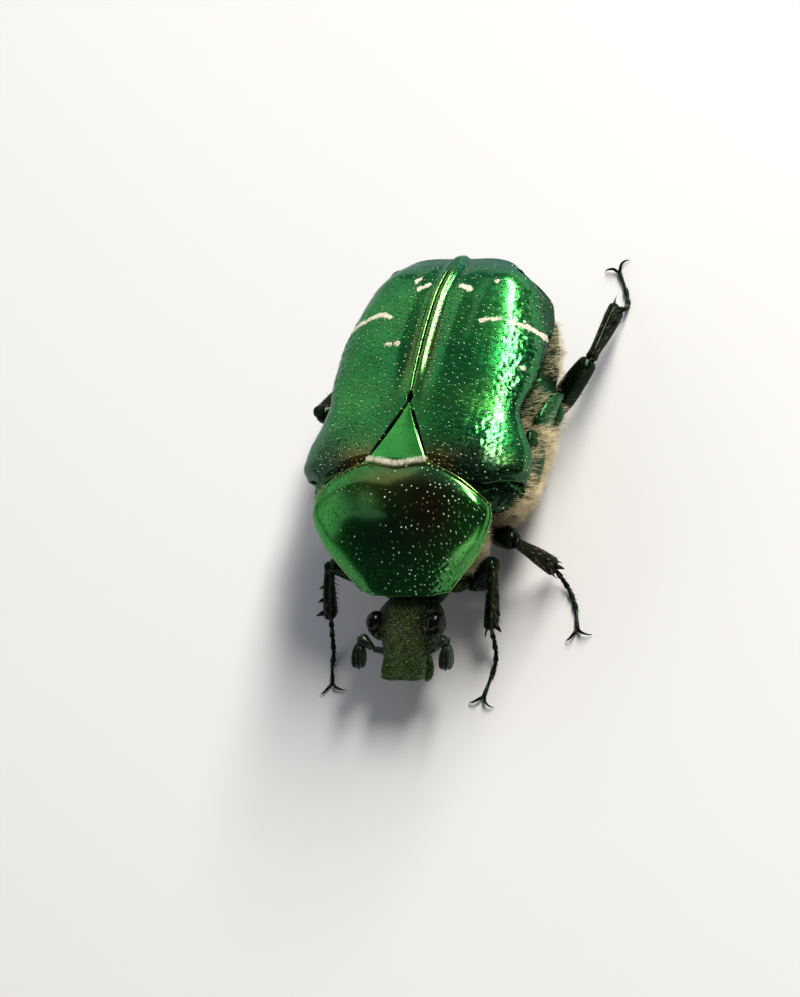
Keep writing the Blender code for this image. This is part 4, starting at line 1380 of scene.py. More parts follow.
    def abdomen(self) -> Form:
        """The abdomen, whose underside steps at each of its segments.

        Returns:
            Its form.
        """
        start, end = 4.75, 9.75
        places, drops = [], []
        for segment in range(self.segments):
            for part, drop in ((0.0, -0.03), (0.1, 0.03), (0.3, 0.07), (0.6, 0.1), (0.85, 0.12), (0.96, 0.12),
                               (0.985, 0.08), (0.999, -0.03)):
                places.append(start + (end - start) * (segment + part) / self.segments)
                drops.append(drop)
        rings = []
        for y, drop in zip(places, drops):
            ring = self.ring(y, 0.1 + 0.25 * float(fade(y, 8.0, 10.0)))
            low = fade(-ring[:, 2], 0.2, 1.2)
            rings.append(ring + np.stack([np.sign(ring[:, 0]) * drop * 0.6 * low, 0 * low, -drop * low], axis=1))
        form = Form().loft(np.array(rings))
        return self._hair_values(form, lambda p: (fade(np.abs(p[:, 0]), 2.8, 4.0) * fade(-p[:, 2], 0.1, 0.6)
                                                  * fade(p[:, 2], -3.0, -1.8) * fade(-p[:, 1], -9.4, -7.5)
                                                  * fade(p[:, 1], 5.6, 6.6)))

    def prothorax(self) -> Form:
        """The trunk under the pronotum, with its side lobes and the two front hips.

        Returns:
            Its form.
        """
        form = Form()
        rings = []
        for part in np.linspace(0.0, 1.0, 30):
            y = -0.85 - 3.6 * part
            along = part * 0.84 + 0.12
            half = min(float(self.shield.half_width.at(along)) - 0.75, 3.15)
            crown = float(self.shield.ridge_height.at(along)) - 0.75
            edge = float(self.shield.edge_height.at(along)) - 0.25
            belly = -2.35 - 0.25 * math.sin(math.pi * part)
            angle = 2 * math.pi * np.arange(56) / 56
            high = np.sign(np.cos(angle)) * np.abs(np.cos(angle)) ** 0.9
            height = np.where(np.cos(angle) > 0, crown - edge, edge - belly)
            rings.append(np.stack([half * np.sin(angle), np.full(56, y), edge + height * high], axis=1))
        form.loft(np.array(rings))
        for side in Side:
            form.ball((side.value * 1.2, -3.0, -2.5), (0.75, 0.66, 0.58), 26, 14)
        return self._hair_values(form, lambda p: (fade(np.abs(p[:, 0]), 1.9, 2.8) * fade(-p[:, 2], -0.9, 0.1)
                                                  * fade(p[:, 2], -2.4, -1.6)))

    def tail_plate(self) -> Form:
        """The plate that closes the tail under the tips of the wing cases, vaulted and leaning in below.

        Returns:
            Its form.
        """
        ring = self.ring(9.72, 0.32)
        middle = np.array([0.0, 9.72, -0.7])
        rings = []
        for part in np.sin(math.pi / 2 * np.linspace(0, 1, 30)):
            scale = (1 - part ** 2.3) ** 0.5 * 0.98 + 0.02
            points = middle + (ring - middle) * (scale, 1.0, scale)
            lean = 0.16 * (points[:, 2] - middle[2]) * fade(part, 0.0, 0.7)
            points[:, 1] += 1.0 * part + lean + 0.012 * swell(points, 0.5, 8) * fade(part, 0.0, 0.3)
            rings.append(points)
        form = Form().loft(np.array(rings))
        form.paint("tint", lambda p: layered(p.shape, self.green, (self.bronze, fade(-p[:, 2], 0.5, 2.0))))
        form.paint("pits", lambda p: 0.85 + 0 * p[:, 0])
        form.paint("hairs", lambda p: 0.35 * fade(p[:, 1], 10.0, 10.3))
        return form.comb(lambda p: np.array([0.0, 0.3, -1.0]) + p * 0)


@dataclass
class ShoulderPlate:
    """The plate that fills the notch between the pronotum and the shoulder of a wing case."""

    upper: tuple[Point, ...] = ((3.45, -0.2, 1.75), (3.75, 0.12, 1.5), (4.3, 0.16, 1.1), (4.78, -0.02, 0.66),
                                (5.06, -0.24, 0.2))
    lower: tuple[Point, ...] = ((3.5, -0.95, 1.6), (3.86, -1.3, 1.05), (4.15, -1.2, 0.5), (4.5, -0.92, 0.1),
                                (4.84, -0.55, -0.15))
    swelling: float = 0.17
    wall: float = 0.25
    rows: int = 44
    columns: int = 70
    green: Colour = (0.006, 0.035, 0.012)
    rim: Colour = (0.08, 0.5, 0.15)

    def build(self, side: Side, finish: bpy.types.Material) -> tuple[bpy.types.Object, Form]:
        """Makes the plate on one side and sets it in place of its solid.

        Args:
            side: which one.
            finish: its material.

        Returns:
            The piece and its form for the hairs.
        """
        s = side.value
        t = np.linspace(0, 1, self.columns)
        edges = []
        for line in (self.lower, self.upper):
            points = np.array(line)
            run = arc_length(points[:, None], 0)[:, 0]
            edges.append(np.stack([Curve(*zip(run / run[-1], points[:, k])).at(t) for k in range(3)], axis=1))
        share = np.linspace(0, 1, self.rows)[:, None, None]
        grid = edges[0] * (1 - share) + edges[1] * share
        outward = unit((0.62, -0.3, 0.72))
        dome = self.swelling * np.sqrt(np.sin(math.pi * share)) * np.sin(math.pi * t)[None, :, None] ** 0.5
        grid = grid + outward * (dome + 0.07 * hill(share, 0.93, 0.06) + 0.012 * swell(grid, 0.3, 12)[..., None])
        values = {"pits": 0.95 + 0 * grid[..., 0], "hairs": fade(-grid[..., 2], -0.55, 0.0)}
        rim_share = fade(share[..., 0], 0.86, 0.94) + 0 * grid[..., 0]
        form = Form().shell(grid * (s, 1, 1), self.wall, values)
        form.spread("tint", layered(grid.shape, self.green, (self.rim, rim_share)), self.green)
        form.comb(lambda p: np.array([s * 0.8, -0.25, -0.45]) + p * 0)
        made = place_piece(form.build("shoulder_plate_" + side.word), finish, "mesepimera",
                           "mesepimeron_" + side.word)
        return made, form


@dataclass
class Head:
    """The head: capsule, squared clypeus with a raised rim, eyes, cheeks, mouth parts and feelers."""

    rear: Point = (0.0, -4.55, -1.32)
    front: Point = (0.0, -7.95, -2.52)
    stations: int = 110
    sides: int = 96
    squareness: float = 2.7
    half_width: Curve = Curve((0.0, 1.05), (0.15, 1.45), (0.32, 1.62), (0.46, 1.4), (0.6, 1.06), (0.74, 0.99),
                              (0.88, 1.05), (0.96, 1.0), (1.0, 0.88))
    half_height: Curve = Curve((0.0, 0.6), (0.15, 0.76), (0.34, 0.78), (0.48, 0.64), (0.62, 0.48), (0.86, 0.3),
                               (0.95, 0.24), (1.0, 0.18))
    eye: Point = (1.45, -5.7, -1.2)
    eye_radii: Point = (0.4, 0.47, 0.44)
    feeler_root: Point = (1.5, -6.75, -1.82)
    feeler_socket: Point = (0.98, -6.8, -2.02)
    feeler_elbow: Point = (2.14, -6.34, -1.47)
    club_length: float = 1.15
    lean: Point = (-0.28, 0.0, 0.12)
    olive: Colour = (0.095, 0.125, 0.035)
    # The feelers' own colour, and the colour of the painted shade on the head.
    black: Colour = (0.01, 0.012, 0.007)
    green: Colour = (0.05, 0.16, 0.035)

    def capsule(self) -> Form:
        """The capsule as one loft with its ridges, hollows, rim and front notch.

        Returns:
            Its form.
        """
        rear, front = np.array(self.rear), np.array(self.front)
        ahead = unit(front - rear)
        above = unit(np.cross((1.0, 0.0, 0.0), ahead))
        above = above * np.sign(above[2])
        place = 0.5 - 0.5 * np.cos(math.pi * np.linspace(0, 1, self.stations))
        c, s = section(self.sides, self.squareness)
        dome = np.sqrt(np.clip(1 - (1 - np.clip((1 - place) / 0.035, 0, 1)) ** 2, 0.02, 1))
        wide = self.half_width.at(place)[:, None] * (0.6 + 0.4 * dome)[:, None] * c[None, :]
        high = self.half_height.at(place)[:, None] * dome[:, None] * s[None, :]
        p, w, top = place[:, None], c[None, :] + 0 * place[:, None], fade(s, 0.05, 0.5)[None, :]
        lift = 0.06 * hill(w, 0.0, 0.13) * fade(p, 0.4, 0.6) * fade(-p, -0.95, -0.85)
        lift = lift - 0.1 * hill(np.abs(w), 0.5, 0.26) * fade(p, 0.52, 0.68) * fade(-p, -0.96, -0.88)
        lift = lift + 0.13 * fade(p, 0.93, 0.975) + 0.09 * fade(np.abs(w), 0.86, 0.98) * fade(p, 0.58, 0.7)
        lift = lift + 0.05 * hill(p, 0.4, 0.06) * hill(w, 0.0, 0.7) - 0.05 * hill(p, 0.5, 0.04)
        high = high + lift * top
        middle = rear + (front - rear) * place[:, None]
        notch = -0.16 * hill(w, 0.0, 0.3) * fade(p, 0.8, 1.0)
        grid = (middle[:, None] + wide[..., None] * np.array([1.0, 0, 0]) + high[..., None] * above
                + notch[..., None] * ahead)
        return Form().loft(grid)

    def turn(self, form: Form) -> Form:
        """Leans a form of the head to the beetle's right and a little up, more towards the front, and returns it."""
        for patch in form.patches:
            share = np.clip((-4.6 - patch.points[:, 1]) / 3.3, 0, 1.3)[:, None]
            patch.points = patch.points + share * np.array(self.lean)
        return form

    def build(self, finish: bpy.types.Material) -> Form:
        """Makes the head piece and sets it in place of its solid.

        Args:
            finish: its material.

        Returns:
            Its form for the hairs.
        """
        form = self.capsule()
        for side in Side:
            s = side.value
            form.tube([(s * 1.1, -6.3, -1.62), (s * 1.5, -6.12, -1.4), (s * 1.78, -5.86, -1.22)],
                      [(0.0, 0.2, 0.14), (0.6, 0.15, 0.09), (1.0, 0.07, 0.05)], (0, 0, 1), 20, 14, 2.4, (0.1, 0.1))
            form.tube([(s * 0.7, -6.5, -2.35), (s * 0.95, -7.2, -2.85), (s * 0.85, -7.75, -3.05)],
                      [(0.0, 0.2, 0.2), (0.45, 0.15, 0.15), (0.8, 0.19, 0.19), (1.0, 0.08, 0.08)], (0, 0, 1), 26, 16,
                      rounded=(0.1, 0.08))
            form.ball((s * 0.85, -6.1, -2.2), (0.5, 0.75, 0.5), 24, 14)
        form.ball((0, -6.6, -2.45), (0.85, 0.95, 0.45), 28, 16)
        form.tube([(0, -7.0, -2.62), (0, -7.75, -2.72)], [(0.0, 0.6, 0.2), (0.6, 0.66, 0.16), (1.0, 0.5, 0.08)],
                  (0, 0, 1), 18, 22, 2.6, (0.1, 0.12))
        form.paint("tint", self._tint)
        form.paint("pits", lambda p: 0.97 + 0 * p[:, 0])
        form.paint("hairs", lambda p: 0.04 + 0.6 * fade(-p[:, 2] - 0.38 * (-p[:, 1] - 4.6), 1.6, 2.3))
        form.comb(lambda p: np.stack([np.sign(p[:, 0]) * 0.5, -0.8 + 0 * p[:, 0], -0.3 + 0 * p[:, 0]], axis=1))
        place_piece(self.turn(form).build("head_capsule"), finish, "head", "head")
        return form

    def _tint(self, points: Array) -> Array:
        """Dark olive, greener on the clypeus, with painted shade: black round the eyes, behind and below.

        Args:
            points: points on the head.

        Returns:
            One colour for each point.
        """
        from_eye = np.linalg.norm(np.abs(points) - np.abs(np.array(self.eye)), axis=1)
        behind = fade(points[:, 1], -5.3, -4.7) + 0.5 * fade(-points[:, 2], 2.4, 3.0)
        # Painted shade: black round the eyes, behind, where the head goes in under the pronotum, and below.
        return layered(points.shape, self.olive, (self.green, 0.35 * fade(-points[:, 1], 6.2, 7.4)),
                       (self.black, 0.9 * fade(-from_eye, -1.15, -0.6)), (self.black, behind))

    def build_eye(self, side: Side, finish: bpy.types.Material) -> bpy.types.Object:
        """Makes one eye and sets it in place of its solid."""
        middle = np.array(self.eye) * (side.value, 1, 1)
        made = self.turn(Form().ball(middle, self.eye_radii, 56, 36)).build("eye_ball_" + side.word)
        return place_piece(made, finish, "eyes", "eye_" + side.word)

    def build_feeler(self, side: Side, finish: bpy.types.Material) -> tuple[bpy.types.Object, Form]:
        """Makes one feeler: the long first joint, a chain of small joints and the club of three leaves.

        Args:
            side: which one.
            finish: its material.

        Returns:
            The piece and its form for the hairs.
        """
        s = side.value
        root, elbow = np.array(self.feeler_root) * (s, 1, 1), np.array(self.feeler_elbow) * (s, 1, 1)
        down = unit((s * -0.02, -0.87, -0.5))
        across = unit(np.cross(down, (s, 0, 0)))
        outward = np.cross(across, down)
        form = Form()
        form.tube([root, (root + elbow) / 2 + (0, 0, 0.1), elbow],
                  [(0.0, 0.13, 0.13), (0.4, 0.2, 0.2), (0.85, 0.27, 0.26), (1.0, 0.2, 0.2)], (0, 0.3, 1), 26, 20,
                  rounded=(0.1, 0.2))
        socket = np.array(self.feeler_socket) * (s, 1, 1)
        form.tube([socket, root + (0, 0, 0.02)], [(0.0, 0.17, 0.17), (0.5, 0.15, 0.15), (1.0, 0.13, 0.13)],
                  (0, 0.3, 1), 16, 20, rounded=(0.1, 0.2))
        joint = elbow + down * 0.08
        for k in range(6):
            size = 0.135 - 0.004 * k
            form.ball(joint + down * 0.05 * k, (size, size * 0.85, size * 0.85), 16, 10)
        knot = elbow + down * 0.34
        for leaf in range(3):
            lean = (leaf - 1) * 0.08
            start = knot - down * 0.05 + outward * (leaf - 1) * 0.1
            end = start + down * (self.club_length - 0.05 * abs(leaf - 1)) + outward * lean
            form.tube([start, (start + end) / 2 + outward * (leaf - 1) * 0.05, end],
                      [(0.0, 0.12, 0.06), (0.25, 0.24, 0.09), (0.65, 0.29, 0.1), (0.92, 0.2, 0.08),
                       (1.0, 0.1, 0.04)], outward, 30, 18, 2.2, (0.08, 0.12))
        form.paint("tint", lambda p: layered(p.shape, self.black) * 1.3)
        form.paint("pits", lambda p: 0.5 + 0 * p[:, 0])
        form.paint("hairs", lambda p: 0.3 + 0 * p[:, 0])
        form.comb(lambda p: down + p * 0)
        made = place_piece(self.turn(form).build("feeler_" + side.word), finish, "antennae", "antenna_" + side.word)
        return made, form


@dataclass
class Leg:
    """One leg: the joints in the body frame, and the sizes of its thigh, shin and foot."""

    name: str
    hip: Point
    knee: Point
    ankle: Point
    toes: tuple[Point, ...]
    thigh: float
    shin: float
    teeth: int
    spurs: int
    claw: float = 0.62
    toe_half: float = 0.115
    green_black: Colour = (0.005, 0.01, 0.006)
    brown: Colour = (0.016, 0.009, 0.005)
    olive: Colour = (0.014, 0.035, 0.012)

    def _side(self) -> float:
        """1 on the beetle's left and -1 on its right."""
        return math.copysign(1.0, self.hip[0])

    def _paint(self, form: Form, hairs: float, share: float) -> Form:
        """Paints colour, punctures and hairs on a segment.

        Args:
            form: the segment.
            hairs: how thick the hairs stand, from 0 to 1.
            share: how brown it is, from 0 to 1.

        Returns:
            The same form.
        """
        form.paint("tint", lambda p: layered(p.shape, self.green_black, (self.olive, 0.4 + 0.4 * swell(p, 1.6, 6)),
                                             (self.brown, share + 0.2 * swell(p, 0.9, 16))))
        form.paint("pits", lambda p: 0.8 + 0 * p[:, 0])
        form.paint("hairs", lambda p: (hairs + 0 * p[:, 0]) * fade(p[:, 2], FLOOR + 0.25, FLOOR + 0.5))
        heading = unit(np.array(self.ankle) - np.array(self.knee))
        return form.comb(lambda p: heading + p * 0)

    def thigh_form(self) -> Form:
        """The femur, flattened and swollen in its middle, with the small ring at its root.

        Returns:
            Its form.
        """
        hip, knee = np.array(self.hip), np.array(self.knee)
        ahead = unit(knee - hip)
        wide = self.thigh
        form = Form()
        sizes = [(0.0, wide * 0.5, wide * 0.45), (0.14, wide * 0.8, wide * 0.75), (0.45, wide * 1.05, wide * 1.0),
                 (0.78, wide * 0.92, wide * 0.88), (0.94, wide * 0.78, wide * 0.72), (1.0, wide * 0.55, wide * 0.5)]
        form.tube([hip - ahead * 0.05, (hip + knee) / 2 + (0, 0, 0.06), knee + ahead * 0.02], sizes, (0, 0, 1), 56, 32,
                  2.2, (0.06, 0.07))
        inward = hip * (0.72 if abs(hip[1]) > 1 else 0.7, 1, 1) + (0, 0, 0.05)
        form.tube([inward, hip + ahead * 0.12], [(0.0, 0.24, 0.24), (0.6, 0.3, 0.3), (1.0, 0.2, 0.2)], (0, 0, 1), 20,
                  20, rounded=(0.2, 0.2))
        return self._paint(form, 0.25, 0.1)

    def shin_form(self) -> Form:
        """The tibia, widening to its end, with outer teeth, a fringed edge and spurs.

        Returns:
            Its form.
        """
        knee, ankle = np.array(self.knee), np.array(self.ankle)
        ahead = unit(ankle - knee)
        side = self._side()
        up = (side, 0, 0.2)
        wide = self.shin
        form = Form()
        sizes = [(0.0, 0.2, 0.19), (0.06, 0.26, 0.24), (0.14, 0.24, 0.22), (0.5, wide * 0.84, 0.25),
                 (0.85, wide * 1.02, 0.28), (0.96, wide * 1.05, 0.27), (1.0, wide * 0.85, 0.2)]
        form.tube([knee, knee * 0.5 + ankle * 0.5 + np.array((side * 0.04, 0, 0.03)), ankle], sizes, up, 60, 28, 2.6,
                  (0.05, 0.025))
        span = np.linalg.norm(ankle - knee)
        outward = unit(np.cross(ahead, np.cross((side, -0.25, 0.35), ahead)))
        sideways = unit(np.cross(ahead, outward))
        for k in range(self.teeth):
            place = knee + ahead * span * (0.93 - 0.25 * k) + outward * 0.06
            size = 0.17 - 0.025 * k
            form.spine(place, place + outward * (0.58 - 0.08 * k) + ahead * 0.2, size, -ahead * 0.05, 12)
        for k in range(self.spurs):
            turn = 1 - 2 * k
            place = ankle - ahead * 0.1 + sideways * 0.2 * turn
            form.spine(place, place + ahead * 0.55 + sideways * 0.16 * turn, 0.055, sideways * 0.04 * turn, 8)
        for k in range(9):
            place = knee + ahead * span * (0.2 + 0.085 * k) - outward * 0.2
            form.spine(place, place - outward * 0.24 + ahead * 0.2, 0.02, (0, 0, 0), 5)
        for k in range(7):
            turn = -1 + 2 * k / 6
            place = ankle - ahead * 0.04 + sideways * turn * wide * 0.8
            form.spine(place, place + ahead * 0.16 + sideways * turn * 0.03, 0.025, (0, 0, 0), 5)
        return self._paint(form, 0.8, 0.35)

    def foot_form(self) -> Form:
        """The tarsus: five joints that widen to their ends, with spinelets, and two curved claws.

        Returns:
            Its form.
        """
        ground = FLOOR + self.toe_half + 0.01
        toes = [np.array((x, y, max(z - 0.12, ground))) for x, y, z in self.toes]
        path = [np.array(self.ankle)] + toes
        run = arc_length(np.array(path)[:, None], 0)[:, 0]
        axes = [Curve(*zip(run / run[-1], np.array(path)[:, k])) for k in range(3)]
        stops = np.array([0.0, 0.17, 0.33, 0.5, 0.68, 1.0])
        form = Form()
        half = self.toe_half
        for k in range(5):
            first, last = stops[k], stops[k + 1]
            line = [np.array([float(axis.at(first + (last - first) * t)) for axis in axes])
                    for t in (-0.05, 0.3, 0.65, 1.04)]
            slim = 0.8 if k == 4 else 1.0
            sizes = [(0.0, half * 0.62, half * 0.62), (0.35, half * 0.75 * slim, half * 0.75 * slim),
                     (0.85, half * 1.1 * slim, half * 1.02 * slim), (1.0, half * 0.9 * slim, half * 0.8 * slim)]
            form.tube(line, sizes, (0, 0, 1), 20, 16, rounded=(0.1, 0.14))
            heading = unit(line[3] - line[2])
            aside = unit(np.cross(heading, (0, 0, 1)))
            for turn in (1, -1):
                place = line[3] + aside * half * 0.6 * turn - (0, 0, 0.03)
                tip = place + heading * 0.16 + aside * 0.06 * turn
                tip[2] = max(tip[2] - 0.05, FLOOR + 0.02)
                form.spine(place, tip, 0.022, (0, 0, 0), 5)
        heading = unit(path[-1] - path[-2])
        aside = unit(np.cross(heading, (0, 0, 1)))
        for turn in (1, -1):
            root = path[-1] - heading * 0.05 + aside * 0.03 * turn
            reach = self.claw
            line = [root, root + heading * reach * 0.4 + aside * reach * 0.3 * turn + (0, 0, 0.09),
                    root + heading * reach * 0.62 + aside * reach * 0.72 * turn + (0, 0, 0.02),
                    root + heading * reach * 0.6 + aside * reach * 0.98 * turn + (0, 0, -0.085)]
            form.tube(line, [(0.0, 0.075, 0.075), (0.5, 0.055, 0.06), (1.0, 0.012, 0.012)], (0, 0, 1), 26, 12,
                      rounded=(0.05, 0.05))
        for patch in form.patches:
            patch.points[:, 2] = np.maximum(patch.points[:, 2], FLOOR)
        return self._paint(form, 0.5, 0.3)

    def build(self, finish: bpy.types.Material) -> Form:
        """Makes the three segments and sets them in place of their solids.

        Args:
            finish: their material.

        Returns:
            Their joined form for the hairs.
        """
        whole = Form()
        for word, solid_name, form in (("thigh", "femur", self.thigh_form()), ("shin", "tibia", self.shin_form()),
                                       ("foot", "tarsus", self.foot_form())):
            place_piece(form.build(f"{word}_{self.name}"), finish, "legs", f"{solid_name}_{self.name}")
            whole.add(form)
        return whole


LEGS = (
    Leg("front_left", (2.15, -3.1, -3.05), (3.75, -3.1, -0.75), (3.0, -5.0, -3.2),
        ((2.95, -5.9, -4.15), (2.8, -6.6, -4.45), (2.6, -7.75, -4.45)), 0.5, 0.38, 3, 1),
    Leg("front_right", (-2.15, -3.1, -3.0), (-4.2, -3.1, -0.8), (-4.95, -4.6, -3.2),
        ((-5.15, -5.4, -4.1), (-5.15, -6.1, -4.45), (-4.9, -7.3, -4.45)), 0.5, 0.38, 3, 1),
    Leg("middle_left", (2.2, -0.45, -3.05), (4.5, -2.0, -0.75), (5.1, -1.85, -3.8),
        ((5.75, -2.7, -4.4), (6.15, -3.45, -4.45), (6.45, -4.5, -4.45)), 0.53, 0.4, 2, 2),
    Leg("middle_right", (-2.55, 0.0, -3.45), (-5.0, 0.5, -1.35), (-5.85, 1.5, -3.7),
        ((-6.05, 2.6, -4.4), (-6.3, 3.5, -4.45), (-6.6, 4.5, -4.45)), 0.47, 0.4, 2, 2),
    Leg("hind_left", (3.45, 5.35, -3.8), (5.85, 7.2, -1.8), (5.85, 10.45, -3.3),
        ((5.75, 11.2, -4.35), (5.45, 12.0, -4.45), (4.9, 13.0, -4.45)), 0.52, 0.42, 2, 2),
    Leg("hind_right", (-3.8, 5.45, -3.9), (-6.5, 4.1, -0.75), (-6.45, 7.0, -3.55),
        ((-6.2, 7.8, -4.4), (-6.05, 8.8, -4.45), (-5.7, 10.0, -4.45)), 0.52, 0.42, 2, 2),
)


@dataclass(frozen=True)
class SoftBox:
    """One soft light that looks at the beetle: its direction and distance from it, its size and power.

    The distance and the size are in metres and the power is in watts. run is the direction of its height.
    """

    name: str
    direction: Point
    distance: float
    size: tuple[float, float]
    power: float
    colour: Colour
    run: Point = (0.0, 0.0, 1.0)
    aim_height: float = 0.004

    def hang(self) -> bpy.types.Object:
        """Hangs the light.

        Returns:
            The light.
        """
        data = bpy.data.lights.new(self.name, "AREA")
        data.shape = "RECTANGLE"
        data.size, data.size_y = self.size
        data.energy = self.power
        data.color = self.colour
        made = bpy.data.objects.new(self.name, data)
        way = Vector(self.direction).normalized()
        aside = Vector(self.run).cross(way).normalized()
        turn = Matrix((aside, way.cross(aside), way)).transposed().to_4x4()
        made.matrix_world = Matrix.Translation(way * self.distance + Vector((0.0, 0.0, self.aim_height))) @ turn
        made.visible_camera = False
        bpy.context.scene.collection.objects.link(made)
        return made


@dataclass
class Studio:
    """The floor, the soft lights and the camera."""

    azimuth: float = 50.5
    elevation: float = 53.7
    roll: float = -44.1
    lens: float = 200.0
    offset: Point = (0.95, 0.33, -240.61)
    floor_reach: float = 1.5
    floor_colour: Colour = (0.82, 0.8, 0.78)
    floor_roughness: float = 0.9
    world_colour: Colour = (0.075, 0.08, 0.085)
    tail_colour: Colour = (0.25, 0.32, 0.5)
    boxes: tuple[SoftBox, ...] = (
        SoftBox("strip_box", (0.4, 0.65, 0.64), 0.3, (0.055, 0.3), 1.5, (1.0, 0.98, 0.92), (-0.45, 0.62, -0.63)),
        SoftBox("broad_box", (-0.76, 0.52, 0.4), 0.45, (0.42, 0.5), 0.42, (0.97, 0.99, 1.0), (0.576, 0.202, 0.792)),
        SoftBox("side_box", (-0.87, -0.26, 0.42), 0.45, (0.26, 0.36), 0.2, (0.97, 1.0, 0.97)),
        SoftBox("front_box", (0.36, -0.92, 0.17), 0.5, (0.25, 0.12), 0.14, (1.0, 0.98, 0.95)))

    def turn(self) -> Array:
        """The camera's right, up and back directions, as rows."""
        a, e, r = (math.radians(v) for v in (self.azimuth, self.elevation, self.roll))
        back = np.array([math.sin(a) * math.cos(e), -math.cos(a) * math.cos(e), math.sin(e)])
        level = np.array([math.cos(a), math.sin(a), 0.0])
        rise = np.cross(back, level)
        return np.array([math.cos(r) * level + math.sin(r) * rise, -math.sin(r) * level + math.cos(r) * rise, back])

    def camera(self) -> bpy.types.Object:
        """Makes the camera at the photograph's viewing angle.

        Returns:
            The camera.
        """
        turn = self.turn()
        place = (-turn.T @ np.array(self.offset) + BODY_TO_FRAME) * MM
        data = bpy.data.cameras.new("camera")
        data.lens = self.lens
        data.clip_start, data.clip_end = 0.01, 10.0
        made = bpy.data.objects.new("camera", data)
        made.matrix_world = Matrix([[*turn[:, k], place[k]] for k in range(3)] + [[0, 0, 0, 1]])
        bpy.context.scene.collection.objects.link(made)
        bpy.context.scene.camera = made
        return made

    def floor(self) -> bpy.types.Object:
        """Lays the plain pale floor.

        Returns:
            The floor.
        """
        mesh = bpy.data.meshes.new("floor")
        reach = self.floor_reach
        mesh.from_pydata([(-reach, -reach, 0), (reach, -reach, 0), (reach, reach, 0), (-reach, reach, 0)], [],
                         [(0, 1, 2, 3)])
        made = bpy.data.objects.new("floor", mesh)
        paper, web, surface = start_finish("floor_paper")
        web.fill(surface, {"Base Color": solid(self.floor_colour), "Roughness": self.floor_roughness})
        mesh.materials.append(paper)
        bpy.context.scene.collection.objects.link(made)
        return made

    def world(self) -> None:
        """Sets a dim surround that is brighter and bluer low behind the beetle's tail."""
        world = bpy.data.worlds.new("surround")
        world.use_nodes = True
        web = Web(world.node_tree)
        sky = world.node_tree.nodes["Background"]
        way = web.add("ShaderNodeTexCoord").outputs["Generated"]
        to_tail = web.vector("DOT_PRODUCT", way, (0.0, 0.85, 0.3)).node.outputs["Value"]
        glow = web.ease(to_tail, 0.2, 1.0)
        web.fill(sky, {"Color": web.mix(glow, solid(self.world_colour), solid(self.tail_colour)), "Strength": 1.0})
        bpy.context.scene.world = world

    def build(self) -> None:
        """Sets up the whole studio."""
        self.camera()
        self.floor()
        self.world()
        for box in self.boxes:
            box.hang()
        bpy.context.scene.view_settings.view_transform = "Standard"


# Cream marks: half the width of each line and the (x, y) places it runs through
CASE_MARKS = {
    Side.RIGHT: (
        (0.105, ((4.42, 7.07), (3.72, 7.17), (3.18, 7.29), (2.65, 7.44), (2.3, 7.38))),
        (0.09, ((2.3, 7.38), (2.04, 7.25))),
        (0.08, ((1.79, 5.84), (1.55, 5.8))),
        (0.095, ((1.4, 5.88), (1.18, 5.85))),
        (0.11, ((1.34, 9.22), (1.25, 9.3))),
        (0.08, ((1.08, 8.72), (0.71, 9.06))),
    ),
    Side.LEFT: (
        (0.07, ((2.42, 7.04), (3.18, 7.25))),
        (0.07, ((3.59, 7.2), (4.12, 7.17))),
        (0.12, ((4.12, 7.17), (4.64, 7.09), (4.74, 7.07))),
        (0.12, ((0.99, 8.92), (1.23, 8.81), (1.4, 8.7))),
        (0.065, ((2.5, 9.21), (2.55, 9.25))),
        (0.09, ((4.46, 5.12), (4.55, 5.1))),
    ),
}


# Every finish, under the name by which the main function finds it
FINISHES: dict[str, Cuticle | EyeGloss | SetaFinish] = {
    "case": Cuticle("case_cuticle", metallic=1.0, roughness=0.22, edge_tint=(0.22, 0.45, 0.45), pit_spacing=0.235,
                    pit_depth=0.042, pit_shape=PitShape.CRESCENT, pit_shade=0.75, painted_glint=0.85, painted_glint_radius=0.03,
                    painted_glint_colour=(0.62, 0.85, 0.4), marked=True),
    "shield": Cuticle("shield_cuticle", metallic=1.0, roughness=0.16, edge_tint=(0.25, 0.5, 0.35),
                      pit_spacing=0.245, pit_radius=0.055, painted_glint=0.8, painted_glint_radius=0.038,
                      painted_glint_colour=(0.95, 0.95, 0.85)),
    "scutellum": Cuticle("scutellum_cuticle", roughness=0.18, pit_depth=0.01, pit_shade=0.3),
    "plate": Cuticle("plate_cuticle", pit_spacing=0.19, pit_radius=0.08, pit_depth=0.06, painted_glint=0.12, coat=0.2),
    "body": Cuticle("body_cuticle", metallic=0.8, roughness=0.32, pit_spacing=0.22, pit_radius=0.08, coat=0.0),
    "head": Cuticle("head_cuticle", metallic=0.6, roughness=0.38, pit_spacing=0.12, pit_radius=0.066,
                    pit_depth=0.09, pit_shade=0.95, painted_glint=0.3, painted_glint_radius=0.03, painted_glint_colour=(0.4, 0.5, 0.25),
                    grain_scale=9.0, grain_depth=0.025, coat=0.0),
    "limb": Cuticle("limb_cuticle", metallic=0.75, roughness=0.15, edge_tint=(0.3, 0.4, 0.32), pit_spacing=0.17,
                    pit_radius=0.05, coat=0.0),
    "feeler": Cuticle("feeler_cuticle", metallic=0.2, pit_spacing=0.1, pit_radius=0.035, pit_depth=0.01, coat=0.0),
    "eye": EyeGloss(),
    "tawny": SetaFinish("tawny_setae", (0.6, 0.42, 0.16), (0.95, 0.8, 0.46)),
    "brown": SetaFinish("brown_setae", (0.16, 0.09, 0.04), (0.45, 0.3, 0.14)),
    "cream": SetaFinish("cream_setae", (0.75, 0.66, 0.42), (0.95, 0.9, 0.7)),
    "dark": SetaFinish("dark_setae", (0.04, 0.025, 0.015), (0.25, 0.16, 0.08)),
}


